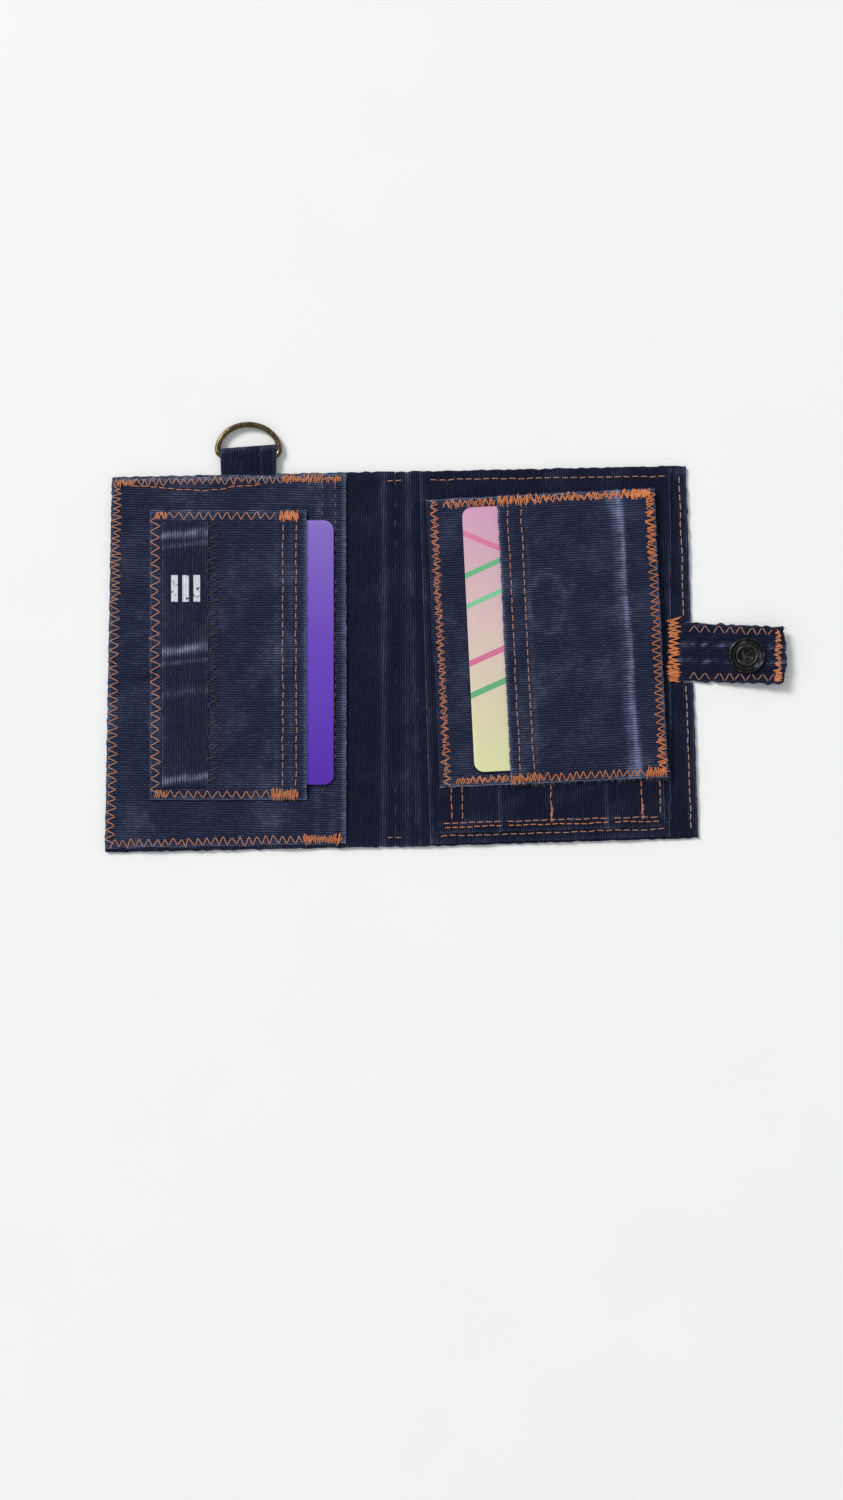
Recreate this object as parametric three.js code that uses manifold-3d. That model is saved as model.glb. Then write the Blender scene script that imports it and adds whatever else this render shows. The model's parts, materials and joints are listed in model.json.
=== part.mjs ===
// A hand-sewn denim card wallet that lies open. It folds like a book round a narrow spine, a leaf
// with a pocket turns like a page on the right-hand panel, and a snap strap wraps round and closes it.
// Millimetres. X runs across the panels, Y along the folds, Z up from the surface it lies on.
// The origin is the middle of the spine's underside.
import * as THREE from "three";
import { mergeVertices } from "three/addons/utils/BufferGeometryUtils.js";
import Module from "manifold-3d";

const wasm = await Module();
wasm.setup();

// ---------------------------------------------------------------- driving sizes
const halfHeight = 61; // half of the wallet along its folds, at the spine
const leftReach = 93.25; // spine centre to the left free edge, at mid-height
const leftLean = 1.15; // the left edge leans out by this much at its foot, and in at its head
const rightLean = 2.1; // the same for the right edge
const leftDrop = 1.8; // the left panel's corners hang lower than the spine's ends
const rightTopRise = 1.9; // and the right panel's corners sit higher
const rightBottomRise = 2.9;

const shellThick = 0.5;
const liningThick = 0.3;
const pocketThick = 0.4; // outer pocket, card pocket, coin pocket and leaf pocket
const leafThick = 0.45;
const patchThick = 0.3;
const threadThick = 0.1;
const seamWidth = 2.7; // sewn margin round a pocket
const zigzagWidth = 3.4;
const bandInset = 0.2; // cloth edge to the zigzag
const rowWidth = 0.5; // a straight row of stitches

// Clearances
const layGap = 0.1; // between cloth that lies on cloth
const threadGap = 0.03; // between a row of stitches and the cloth under it
const cardGap = 0.05; // between a row of stitches and a card that slides over it
const leafGap = 0.09; // between the coin pocket's stitches and the leaf
const closingGap = 0.39; // between the two halves when the wallet is shut
const foldGap = 0.08; // each side of a fold line
const cutGap = 0.3; // round a piece that sits in a cut-out
const bandGap = 0.4; // between a zigzag and the row of stitches or the patch beside it

// A bank card: width, height, thickness and corner radius of the usual size
const cardWidth = 53.98;
const cardHeight = 85.6;
const cardThick = 0.76;
const cardCorner = 3.18;

// Outer pocket on the left panel, open towards the spine
const outerPocketRoom = 0.3;
const outerPocketHem = 12; // fold line to the pocket's open edge
const outerPocketFoot = 1.25; // the shell shows this much below it
const outerPocketSide = 0.3; // and this much above it and beside it
const outerHemRows = [3.6, 7.7]; // rows of stitches, in from the open edge

// Card pocket on the outer pocket
const cardPocketMargin = 13.7; // in from the left free edge
const cardPocketMiddle = 1.25;
const cardPocketSpare = 2.9; // the pocket's room is this much taller than a card
const cardHemRows = [3.3, 7.6];
const leftCardInset = 5.6; // pocket's left edge to the card's
const leftCardPeek = 8.78; // how far the card shows past the pocket's hem
const leftCardMiddle = 2.1;
const patchWidth = 15;

// Inner panel and coin pocket under the leaf
const innerPanelStart = [3.9, 7.45]; // fold line to its left edge, at the head and at the foot
const innerPanelMargin = 1.2; // its right edge to the strap's sewn end
const coinTurn = 1.8; // degrees
const coinStart = 8.5; // fold line to the pocket
const coinEndMargin = 3.2; // pocket to the inner panel's right edge
const coinFootMargin = 5.4; // spine's foot to the pocket's
const coinHeadMargin = 34.6; // the pocket's open head to the spine's head
const coinRoom = 0.4;
const coinFirstRow = 4.8; // pocket's left edge to the first upright row
const coinMiddleRow = 0.1; // pocket's middle to the second
const coinLastRow = 7.5; // pocket's right edge to the third
const coinPleatOffsets = [-15.2, -10]; // from the second row, and from the third
const pleatWidth = 0.8;

// Leaf: a page with a side-loading card pocket
const leafTurn = 2.8; // degrees
const leafStart = 8.19; // spine's fold line to the leaf
const leafHeadMargin = 7.54; // leaf to the spine's head
const leafSpare = 2.5; // the leaf's pocket is this much taller than a card inside
const leafEnd = 8.42; // card to the leaf's right edge
const leafFoldInset = 0.4; // leaf's left edge to its first fold line
const leafStrip = 4.2; // between its two fold lines
const leafHemRows = [3.2, 7.5];
const rightCardInset = 11.5; // leaf's left edge to the card's
const rightCardPeek = 11.5; // how far the card shows past the pocket's hem
const rightCardMiddle = 0.57;

// Strap with a ring-spring snap
const strapClearance = 0.5; // between the strap and the left panel's free edge when shut
const strapBorder = 2.2; // the strap's first fold line to the right edge
const strapFoot = -7.1;
const strapHead = 12;
const strapLength = 32.6; // first fold line to the tip
const strapLift = 7; // degrees: the free end lies a little raised on its cap
const anchorLength = 3.5;
const snapAlong = 19.7; // first fold line to the snap
const snapY = 1.1;
const capRadius = 6;
const capHeight = 0.95;
const socketRadius = 5.9;
const socketHeight = 1.3;
const socketHole = 2.8;
const rivetRadius = 1.5;
const springWire = 0.18; // radius
const studHeadRadius = 2.1;
const studNeckRadius = 1.65;
const studFlange = 4.4;
const snapClearance = 0.4; // round the socket where it sinks into the panel's dimple
const dimpleDepth = 1.5;
const dimpleWall = 0.4;

// Ring and its loop
const ringX = -47.7;
const ringStandOff = 5.1; // panel's edge to the ring's bar
const ringWire = 1.9; // diameter
const ringWidth = 22; // outside
const ringRise = 10.1; // bar's centre to the top of the bow's centre line
const ringSlit = 0.3; // where the bent wire's ends meet
const loopCover = 0.4; // the loop's cloth and its clearance round the wire
const loopLift = 0.05; // the loop's underside above the surface
const loopClearance = 0.3;

// ---------------------------------------------------------------- heights worked out from them
const foldHeight = shellThick / 2;
const liningBase = shellThick + layGap;
const liningTop = liningBase + liningThick;
const stitchTop = threadGap + threadThick; // how far a row of stitches stands above its cloth
const outerBase = liningTop + layGap;
const outerSheet = outerBase + outerPocketRoom;
const outerTop = outerSheet + pocketThick;
const leftCardBase = outerTop + stitchTop + cardGap;
const cardPocketSheet = leftCardBase + cardThick + layGap;
const cardPocketTop = cardPocketSheet + pocketThick;
const leftStackTop = cardPocketTop + threadGap + patchThick;
const innerBase = liningTop + layGap;
const innerTop = innerBase + liningThick;
const coinBase = innerTop + layGap;
const coinSheet = coinBase + coinRoom;
const coinTop = coinSheet + pocketThick;
const leafBase = coinTop + stitchTop + leafGap;
const leafTop = leafBase + leafThick;
const rightCardBase = leafTop + stitchTop + cardGap;
const leafSheet = rightCardBase + cardThick + layGap;
const leafPocketTop = leafSheet + pocketThick;
const rightStackTop = leafPocketTop + stitchTop;
const strapThick = 2 * shellThick + layGap;
const strapFace = strapThick + threadGap;

// ---------------------------------------------------------------- places worked out from them
// The spine is as wide as the two halves are thick, so that it stands upright when the wallet shuts.
const closedHeight = leftStackTop + rightStackTop + closingGap;
const spineWidth = closedHeight - shellThick;
const leftHinge = -spineWidth / 2;
const rightHinge = spineWidth / 2;

// The strap folds up just past the left panel's free edge, climbs the shut wallet and folds again.
// The stud's place on the left panel is what is then left of the strap's length.
const strapFold = leftReach + strapThick / 2 + strapClearance;
const strapSecondFold = strapFold + closedHeight + stitchTop + layGap;
const strapTip = strapFold + strapLength;
const snapX = strapFold + snapAlong;
const studX = -(strapFold - (snapX - strapSecondFold));
const dimpleRadius = socketRadius + snapClearance;
const rightReach = strapFold + strapBorder; // spine centre to the right edge, at mid-height
const anchorStart = strapFold - anchorLength;

const cardPocketWidth = leftCardInset + cardWidth - leftCardPeek;
const cardPocketHeight = cardHeight + 2 * seamWidth + cardPocketSpare;
const innerPanelEnd = anchorStart - innerPanelMargin;
const coinWidth = innerPanelEnd - coinEndMargin - rightHinge - coinStart;
const coinHeight = 2 * halfHeight - coinHeadMargin - coinFootMargin;
const coinCentre = [rightHinge + coinStart + coinWidth / 2, coinHeight / 2 + coinFootMargin - halfHeight];
const coinRows = [coinFirstRow - coinWidth / 2, coinMiddleRow, coinWidth / 2 - coinLastRow];
const coinPleats = [coinRows[1] + coinPleatOffsets[0], coinRows[2] + coinPleatOffsets[1]];
const leafWidth = rightCardInset + cardWidth + leafEnd;
const leafHeight = cardHeight + 2 * seamWidth + leafSpare;
const leafPocketHem = rightCardInset + rightCardPeek; // leaf's left edge to the pocket's open edge
const leafCentre = [rightHinge + leafStart + leafWidth / 2, halfHeight - leafHeadMargin - leafHeight / 2];
const ringY = halfHeight + ringStandOff;
const ringZ = ringWire / 2 + loopCover + loopLift;
const rad = THREE.MathUtils.degToRad;

// ---------------------------------------------------------------- shapes
const round = 32; // sides of a round piece
const far = 200; // past every edge of the wallet, for cuts that go right through

// Turns a three.js geometry into a solid that can be cut and joined.
function solidOf(geometry) {
  const bare = geometry.clone();
  bare.deleteAttribute("normal");
  bare.deleteAttribute("uv");
  const merged = mergeVertices(bare, 1e-4);
  const vertProperties = merged.attributes.position.array;
  const triVerts = new Uint32Array(merged.index.array);
  return new wasm.Manifold(new wasm.Mesh({ numProp: 3, vertProperties, triVerts }));
}

function geometryOf(solid) {
  const mesh = solid.getMesh();
  const geometry = new THREE.BufferGeometry();
  geometry.setAttribute("position", new THREE.BufferAttribute(new Float32Array(mesh.vertProperties), 3));
  geometry.setIndex(new THREE.BufferAttribute(new Uint32Array(mesh.triVerts), 1));
  const faceted = geometry.toNonIndexed();
  faceted.computeVertexNormals();
  return faceted;
}

// A flat piece of cloth or thread with a given outline, from one height to another.
function plate(outline, bottom, top) {
  const shape = new THREE.Shape(outline.map(([x, y]) => new THREE.Vector2(x, y)));
  const geometry = new THREE.ExtrudeGeometry(shape, { depth: top - bottom, bevelEnabled: false });
  return solidOf(geometry.translate(0, 0, bottom));
}

function block(x0, x1, y0, y1, z0, z1) {
  return plate([[x0, y0], [x1, y0], [x1, y1], [x0, y1]], z0, z1);
}

function disc(x, y, radius, bottom, top) {
  const geometry = new THREE.CylinderGeometry(radius, radius, top - bottom, round);
  return solidOf(geometry.rotateX(Math.PI / 2).translate(x, y, (bottom + top) / 2));
}

// Turns a profile of [radius, height] points, listed so that it closes, about an upright axis.
function turned(profile, x, y) {
  const points = profile.map(([r, z]) => new THREE.Vector2(r, z));
  const geometry = new THREE.LatheGeometry([...points, points[0].clone()], round);
  return solidOf(geometry.rotateX(Math.PI / 2).translate(x, y, 0));
}

// A prism along Y whose section in X and Z is the given outline.
function beam(section, y0, y1) {
  const shape = new THREE.Shape(section.map(([x, z]) => new THREE.Vector2(x, z)));
  const geometry = new THREE.ExtrudeGeometry(shape, { depth: y1 - y0, bevelEnabled: false });
  return solidOf(geometry.rotateX(Math.PI / 2).translate(0, y1, 0));
}

// The slit that a fold line needs: narrow below its axis, and opening at 45 degrees above it.
function foldSlit(x, z) {
  const reach = 8;
  const left = x - foldGap;
  const right = x + foldGap;
  const section = [
    [left, -reach],
    [right, -reach],
    [right, z],
    [right + reach, z + reach],
    [left - reach, z + reach],
    [left, z],
  ];
  return beam(section, -far, far);
}

// Moves each side of a four-cornered outline inwards. Corners and sides run anticlockwise from
// the lower left: bottom, right, top, left.
function inset(corners, distances) {
  const lines = corners.map((start, i) => {
    const end = corners[(i + 1) % 4];
    const length = Math.hypot(end[0] - start[0], end[1] - start[1]);
    const along = [(end[0] - start[0]) / length, (end[1] - start[1]) / length];
    const inward = [-along[1], along[0]];
    return { point: [start[0] + inward[0] * distances[i], start[1] + inward[1] * distances[i]], along };
  });
  return lines.map((line, i) => {
    const before = lines[(i + 3) % 4];
    const across = before.along[0] * line.along[1] - before.along[1] * line.along[0];
    const dx = line.point[0] - before.point[0];
    const dy = line.point[1] - before.point[1];
    const t = (dx * line.along[1] - dy * line.along[0]) / across;
    return [before.point[0] + before.along[0] * t, before.point[1] + before.along[1] * t];
  });
}

function rectangle(width, height, x = 0, y = 0) {
  return [
    [x - width / 2, y - height / 2],
    [x + width / 2, y - height / 2],
    [x + width / 2, y + height / 2],
    [x - width / 2, y + height / 2],
  ];
}

function roundedCard(x, y, bottom) {
  const w = cardWidth / 2 - cardCorner;
  const h = cardHeight / 2 - cardCorner;
  const shape = new THREE.Shape();
  shape.absarc(x + w, y - h, cardCorner, -Math.PI / 2, 0);
  shape.absarc(x + w, y + h, cardCorner, 0, Math.PI / 2);
  shape.absarc(x - w, y + h, cardCorner, Math.PI / 2, Math.PI);
  shape.absarc(x - w, y - h, cardCorner, Math.PI, 1.5 * Math.PI);
  const options = { depth: cardThick, bevelEnabled: false, curveSegments: 4 };
  return new THREE.ExtrudeGeometry(shape, options).translate(0, 0, bottom);
}

// A pocket: a sheet over a room that is open on one side, with a sewn margin on the other three.
function pocket(corners, margins, base, sheet, top) {
  return plate(corners, base, top).subtract(plate(inset(corners, margins), -far, sheet));
}

// A band of thread that runs round three or four sides of an outline.
function threadBand(corners, widths, bottom) {
  const outer = plate(corners, bottom, bottom + threadThick);
  return outer.subtract(plate(inset(corners, widths), -far, far));
}

// A margin that reaches outwards this far leaves that side of a pocket or a band open.
const open = -30;

// A straight row of stitches from one point to another.
function row(from, to, bottom, width = rowWidth) {
  const angle = Math.atan2(to[1] - from[1], to[0] - from[0]);
  const sx = (-Math.sin(angle) * width) / 2;
  const sy = (Math.cos(angle) * width) / 2;
  const outline = [
    [from[0] - sx, from[1] - sy],
    [to[0] - sx, to[1] - sy],
    [to[0] + sx, to[1] + sy],
    [from[0] + sx, from[1] + sy],
  ];
  return plate(outline, bottom, bottom + threadThick);
}

// ---------------------------------------------------------------- materials
function finish(color, roughness, metalness = 0) {
  return { color, roughness, metalness };
}
const denim = finish(0x262b45, 0.9);
const denimDark = finish(0x20243a, 0.9);
const denimWorn = finish(0x343b57, 0.9);
const orangeThread = finish(0xc8672f, 0.7);
const navyThread = finish(0x151a2c, 0.7);
const violetCard = finish(0x5b2fae, 0.35);
const pastelCard = finish(0xd6b6b8, 0.4);
const gunmetal = finish(0x2a2c2b, 0.35, 1);
const springSteel = finish(0x9a9a96, 0.3, 1);
const oldBrass = finish(0x6f6138, 0.35, 1);

const wallet = new THREE.Group();

function addPart(parent, name, shape, look) {
  const geometry = shape.isBufferGeometry ? shape : geometryOf(shape);
  const mesh = new THREE.Mesh(geometry, new THREE.MeshStandardMaterial(look));
  mesh.name = name;
  parent.add(mesh);
}

// ---------------------------------------------------------------- shell and lining
const walletOutline = [
  [-leftReach - leftLean, -halfHeight - leftDrop],
  [leftHinge, -halfHeight],
  [rightHinge, -halfHeight],
  [rightReach + rightLean, -halfHeight + rightBottomRise],
  [rightReach - rightLean, halfHeight + rightTopRise],
  [rightHinge, halfHeight],
  [leftHinge, halfHeight],
  [-leftReach + leftLean, halfHeight - leftDrop],
];
const leftPanel = [walletOutline[0], walletOutline[1], walletOutline[6], walletOutline[7]];
const rightPanel = [walletOutline[2], walletOutline[3], walletOutline[4], walletOutline[5]];
const foldSlits = foldSlit(leftHinge, foldHeight).add(foldSlit(rightHinge, foldHeight));

// One sheet over the whole wallet, parted at the two fold lines.
function partedSheet(bottom, top) {
  const sheet = plate(walletOutline, bottom, top).subtract(foldSlits);
  const between = (x0, x1) => sheet.intersect(block(x0, x1, -far, far, -far, far));
  return {
    left: between(-far, leftHinge),
    spine: between(leftHinge, rightHinge),
    right: between(rightHinge, far),
  };
}

const slotFoot = strapFoot - cutGap - foldGap;
const slotHead = strapHead + cutGap + foldGap;
const strapSlot = block(strapFold - foldGap, far, slotFoot, slotHead, -far, far);
const anchorSlot = block(anchorStart - cutGap, far, slotFoot, slotHead, shellThick + layGap / 2, far);
const shell = partedSheet(0, shellThick);
const lining = partedSheet(liningBase, liningTop);

// The panel rises in a shallow dimple over the stud, which keeps the stud off the surface that the
// open wallet lies on. The socket sinks into the dimple when the strap is snapped.
const dimpleRoof = dimpleDepth + dimpleWall;
const dimpleOutside = dimpleRadius + dimpleWall;
const dimpleBevel = 0.4; // inside its roof
const dimpleShoulder = 0.6; // outside its roof
const postRadius = 0.85;
const postHole = postRadius + 0.35;
const dimple = turned(
  [
    [postHole, dimpleDepth],
    [dimpleRadius - dimpleBevel, dimpleDepth],
    [dimpleRadius, dimpleDepth - dimpleBevel],
    [dimpleRadius, 0],
    [dimpleOutside, 0],
    [dimpleOutside, dimpleRoof - dimpleShoulder],
    [dimpleOutside - dimpleShoulder, dimpleRoof],
    [postHole, dimpleRoof],
  ],
  studX,
  snapY,
);
// A round hole through every layer over the stud.
const studHole = (radius, top = far) => disc(studX, snapY, radius, -far, top);
const shellLeft = shell.left.subtract(studHole((dimpleRadius + dimpleOutside) / 2)).add(dimple);
const loopHalf = (ringWidth - 2 * ringWire - loopClearance) / 2;
const loopRoot = halfHeight - 7; // the loop is sewn in from here
const loopSides = [ringX - loopHalf - cutGap, ringX + loopHalf + cutGap];
const loopSlot = block(...loopSides, loopRoot - cutGap, far, liningBase - layGap / 2, liningTop + layGap / 2);
const liningLeft = lining.left.subtract(studHole(dimpleOutside + cutGap)).subtract(loopSlot);

addPart(wallet, "shell_left", shellLeft, denimDark);
addPart(wallet, "shell_spine", shell.spine, denimDark);
addPart(wallet, "shell_right", shell.right.subtract(strapSlot), denimDark);
addPart(wallet, "lining_left", liningLeft, denim);
addPart(wallet, "lining_spine", lining.spine, denim);
addPart(wallet, "lining_right", lining.right.subtract(strapSlot).subtract(anchorSlot), denim);

const topstitchInset = 3; // edge to a straight row
const foldStop = 1.2; // a row of stitches ends this far from a fold line
for (const [name, side] of [["top", 1], ["bottom", -1]]) {
  const y = side * (halfHeight - topstitchInset);
  const reach = rightHinge - foldStop;
  addPart(wallet, `stitch_spine_${name}`, row([-reach, y], [reach, y], liningTop + threadGap), orangeThread);
}

// ---------------------------------------------------------------- outer pocket, left panel
const outerPocketEdges = [outerPocketFoot, outerPocketHem, outerPocketSide, outerPocketSide];
const outerPocket = inset(leftPanel, outerPocketEdges);
// The pocket's sheet bulges over the dimple.
const bumpGap = 0.28; // between the dimple's roof, with the stud's post on it, and the bulge
const bumpSlope = 0.2;
const bumpRim = 0.6;
const bumpRadius = dimpleOutside + 0.35;
const bumpBase = dimpleRoof + bumpGap;
const bumpTop = bumpBase + 0.35;
const bump = turned(
  [
    [0, bumpBase],
    [dimpleRadius, bumpBase],
    [dimpleRadius + bumpSlope, bumpBase - bumpSlope + threadGap / 2],
    [bumpRadius, outerSheet],
    [bumpRadius + bumpRim, outerSheet],
    [bumpRadius + bumpRim, outerTop],
    [dimpleRadius + bumpSlope, bumpTop],
    [0, bumpTop],
  ],
  studX,
  snapY,
);
const leftMargins = [seamWidth, open, seamWidth, seamWidth];
const outerPocketSolid = pocket(outerPocket, leftMargins, outerBase, outerSheet, outerTop)
  .subtract(studHole(bumpRadius + bumpRim / 2))
  .add(bump);
addPart(wallet, "outer_pocket", outerPocketSolid, denim);

const onOuter = outerTop + threadGap;
const bumpEdge = bumpRadius + bumpRim + cutGap;
const leftBandWidths = [zigzagWidth, open, zigzagWidth, zigzagWidth];
const outerBandEnd = outerHemRows[1] + rowWidth + 4 * bandGap;
const outerBandOutline = inset(outerPocket, [bandInset, outerBandEnd, bandInset, bandInset]);
const outerBand = threadBand(outerBandOutline, leftBandWidths, onOuter).subtract(studHole(bumpEdge));
addPart(wallet, "outer_pocket_zigzag", outerBand, orangeThread);
outerHemRows.forEach((distance, i) => {
  const x = leftHinge - outerPocketHem - distance;
  const reach = halfHeight - topstitchInset - rowWidth;
  const rowSolid = row([x, -reach - rowWidth], [x, reach], onOuter);
  addPart(wallet, `outer_pocket_hem_stitch_${i + 1}`, rowSolid, orangeThread);
});

// ---------------------------------------------------------------- card pocket with its card and patch
const cardPocketLeft = -leftReach + cardPocketMargin;
const cardPocketX = cardPocketLeft + cardPocketWidth / 2;
const cardPocket = rectangle(cardPocketWidth, cardPocketHeight, cardPocketX, cardPocketMiddle);
const cardPocketSolid = pocket(
  cardPocket,
  leftMargins,
  leftCardBase,
  cardPocketSheet,
  cardPocketTop,
).subtract(studHole(bumpEdge, cardPocketSheet - foldGap));
addPart(wallet, "card_pocket", cardPocketSolid, denim);

const onCardPocket = cardPocketTop + threadGap;
const cardBandEnd = cardHemRows[1] + rowWidth + bandGap;
const cardBandOutline = inset(cardPocket, [bandInset, cardBandEnd, bandInset, bandInset]);
const cardBand = threadBand(cardBandOutline, leftBandWidths, onCardPocket);
addPart(wallet, "card_pocket_zigzag", cardBand, orangeThread);
const hemRowInset = 1.5; // a hem's row of stitches ends this far from the cloth's edge
cardHemRows.forEach((distance, i) => {
  const x = cardPocketLeft + cardPocketWidth - distance;
  const reach = cardPocketHeight / 2 - hemRowInset;
  const rowSolid = row([x, cardPocketMiddle - reach], [x, cardPocketMiddle + reach], onCardPocket);
  addPart(wallet, `card_pocket_hem_stitch_${i + 1}`, rowSolid, orangeThread);
});

const patchHeight = cardPocketHeight - 2 * (bandInset + zigzagWidth + bandGap);
const patchX = cardPocketLeft + bandInset + zigzagWidth + bandGap + patchWidth / 2;
const patch = rectangle(patchWidth, patchHeight, patchX, cardPocketMiddle);
addPart(wallet, "waistband_patch", plate(patch, onCardPocket, onCardPocket + patchThick), denimWorn);
const patchEdge = patchX + patchWidth / 2 + layGap + zigzagWidth / 2;
const patchReach = patchHeight / 2;
const patchFrom = [patchEdge, cardPocketMiddle - patchReach];
const patchTo = [patchEdge, cardPocketMiddle + patchReach];
addPart(wallet, "waistband_patch_zigzag", row(patchFrom, patchTo, onCardPocket, zigzagWidth), navyThread);

const leftCardX = cardPocketLeft + leftCardInset + cardWidth / 2;
addPart(wallet, "left_card", roundedCard(leftCardX, leftCardMiddle, leftCardBase), violetCard);

// ---------------------------------------------------------------- snap stud and its post
const flangeThick = 0.2;
const studBase = dimpleDepth - threadGap;
const studFace = studBase - flangeThick;
const studProfile = [
  [1, 0.35],
  [1.75, 0.2],
  [studHeadRadius, 0.3],
  [studHeadRadius, 0.38],
  [studNeckRadius, 0.55],
  [studNeckRadius, studFace],
  [studFlange, studFace],
  [studFlange, studBase],
  [1, studBase],
];
addPart(wallet, "snap_stud", turned(studProfile, studX, snapY), gunmetal);
const postFoot = 0.5;
const postFlange = studFlange - 0.5;
const postBase = dimpleRoof + threadGap;
const postTop = postBase + flangeThick;
const postProfile = [
  [0, postFoot],
  [postRadius, postFoot],
  [postRadius, postBase],
  [postFlange, postBase],
  [postFlange, postTop],
  [0, postTop],
];
addPart(wallet, "snap_post", turned(postProfile, studX, snapY), gunmetal);

// ---------------------------------------------------------------- ring and its loop
const loopEnd = ringY + 3.2;
const loopLow = ringZ - ringWire / 2 - loopCover;
const loopHigh = ringZ + ringWire / 2 + loopCover;
const loopSkin = 0.28; // the cloth's own thickness
const loopSection = [
  [loopRoot, liningBase],
  [halfHeight - 0.7, liningBase],
  [ringY - 2.6, loopLow],
  [loopEnd - 0.7, loopLow],
  [loopEnd, loopLow + 0.7],
  [loopEnd, loopHigh - 0.7],
  [loopEnd - 0.7, loopHigh],
  [ringY - 2, loopHigh],
  [halfHeight - 0.7, liningTop],
  [loopRoot, liningTop],
];
const channelSection = [
  [ringY - 1.7, ringZ],
  [ringY - 0.55, loopLow + loopSkin],
  [loopEnd - 1, loopLow + loopSkin],
  [loopEnd - 0.45, loopLow + 0.85],
  [loopEnd - 0.45, loopHigh - 0.85],
  [loopEnd - 1, loopHigh - loopSkin],
  [ringY - 0.55, loopHigh - loopSkin],
];
// The loop's sections are drawn in Y and Z, so they are made along Y and turned a quarter round Z.
const loopSolid = beam(loopSection, -loopHalf, loopHalf).subtract(beam(channelSection, -far, far));
const loop = geometryOf(loopSolid).rotateZ(Math.PI / 2).translate(ringX, 0, 0);
addPart(wallet, "ring_loop", loop, denimDark);

// The ring is one wire, bent to a D, whose ends meet in the middle of the bar inside the loop.
const bowRadius = (ringWidth - ringWire) / 2;
const bowCorner = 1.6;
const bowPoints = [];
for (let i = 0; i <= 12; i += 1) {
  const angle = (Math.PI * i) / 12;
  const y = bowCorner + (ringRise - bowCorner) * Math.sin(angle);
  bowPoints.push(new THREE.Vector3(bowRadius * Math.cos(angle), y, 0));
}
const cornerX = bowRadius - 0.45;
const barPoints = (side) => [
  new THREE.Vector3(side * cornerX, 0.4, 0),
  new THREE.Vector3(side * (bowRadius - bowCorner), 0, 0),
  new THREE.Vector3((side * bowRadius) / 2, 0, 0),
  new THREE.Vector3((side * ringSlit) / 2, 0, 0),
];
const ringPath = new THREE.CatmullRomCurve3([...barPoints(1).reverse(), ...bowPoints, ...barPoints(-1)]);
const wireSection = new THREE.Shape();
wireSection.absarc(0, 0, ringWire / 2, 0, 2 * Math.PI);
const ringOptions = { extrudePath: ringPath, steps: 56, curveSegments: 5 };
const ringGeometry = new THREE.ExtrudeGeometry(wireSection, ringOptions);
addPart(wallet, "d_ring", ringGeometry.translate(ringX, ringY, ringZ), oldBrass);

// ---------------------------------------------------------------- inner panel, right-hand side
const innerPanel = [
  [rightHinge + innerPanelStart[1], -halfHeight + 0.8],
  [innerPanelEnd, -halfHeight + rightBottomRise + 0.5],
  [innerPanelEnd, halfHeight + rightTopRise - 0.9],
  [rightHinge + innerPanelStart[0], halfHeight - 0.3],
];
addPart(wallet, "inner_panel", plate(innerPanel, innerBase, innerTop), denim);
const [innerFoot, innerFootEnd, innerHeadEnd, innerHead] = inset(innerPanel, [2.6, 1.5, 2.6, 3.4]);
addPart(wallet, "stitch_right_top", row(innerHead, innerHeadEnd, innerTop + threadGap), orangeThread);
addPart(wallet, "stitch_right_bottom", row(innerFoot, innerFootEnd, innerTop + threadGap), orangeThread);
const edgeRow = inset(rightPanel, [3, 2.4, 3, 0]);
// The row along the right edge stops at the strap, whose bar of stitches carries on.
const edgeAt = (y) => {
  const share = (y - edgeRow[1][1]) / (edgeRow[2][1] - edgeRow[1][1]);
  return [edgeRow[1][0] + (edgeRow[2][0] - edgeRow[1][0]) * share, y];
};
const edgeUpper = row(edgeAt(strapHead + 2), edgeRow[2], liningTop + threadGap);
const edgeLower = row(edgeRow[1], edgeAt(strapFoot - 1), liningTop + threadGap);
addPart(wallet, "stitch_right_edge_upper", edgeUpper, orangeThread);
addPart(wallet, "stitch_right_edge_lower", edgeLower, orangeThread);

// ---------------------------------------------------------------- coin pocket, pleated and open at its head
const coins = new THREE.Group();
coins.position.set(coinCentre[0], coinCentre[1], 0);
coins.rotation.z = rad(coinTurn);
wallet.add(coins);
const coinOutline = rectangle(coinWidth, coinHeight);
let coinSolid = plate(coinOutline, coinBase, coinTop);
const coinEdges = [-coinWidth / 2 + seamWidth, coinRows[1], coinWidth / 2 - seamWidth];
coinPleats.forEach((x, i) => {
  const room = [coinEdges[i] + 1, coinEdges[i + 1] - 1];
  coinSolid = coinSolid.subtract(block(...room, -coinHeight / 2 + seamWidth, far, -far, coinSheet));
  const pleat = [x - pleatWidth / 2, x + pleatWidth / 2];
  coinSolid = coinSolid.subtract(block(...pleat, -far, far, coinTop - pocketThick / 2, far));
});
addPart(coins, "coin_pocket", coinSolid, denim);
const coinFootY = -coinHeight / 2 + 3.4;
coinRows.forEach((x, i) => {
  const foot = [x, coinFootY + 2.4 * rowWidth];
  const rowSolid = row(foot, [x, coinHeight / 2 - 2 * rowWidth], coinTop + threadGap);
  addPart(coins, `coin_pocket_stitch_${i + 1}`, rowSolid, orangeThread);
});
const coinFootEnd = coinWidth / 2 - 2;
const coinFootSpans = [
  [-coinFootEnd, coinPleats[0] - pleatWidth],
  [coinPleats[0] + pleatWidth, coinPleats[1] - pleatWidth],
  [coinPleats[1] + pleatWidth, coinFootEnd],
];
coinFootSpans.forEach(([from, to], i) => {
  const rowSolid = row([from, coinFootY], [to, coinFootY], coinTop + threadGap);
  addPart(coins, `coin_pocket_foot_stitch_${i + 1}`, rowSolid, orangeThread);
});

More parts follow.
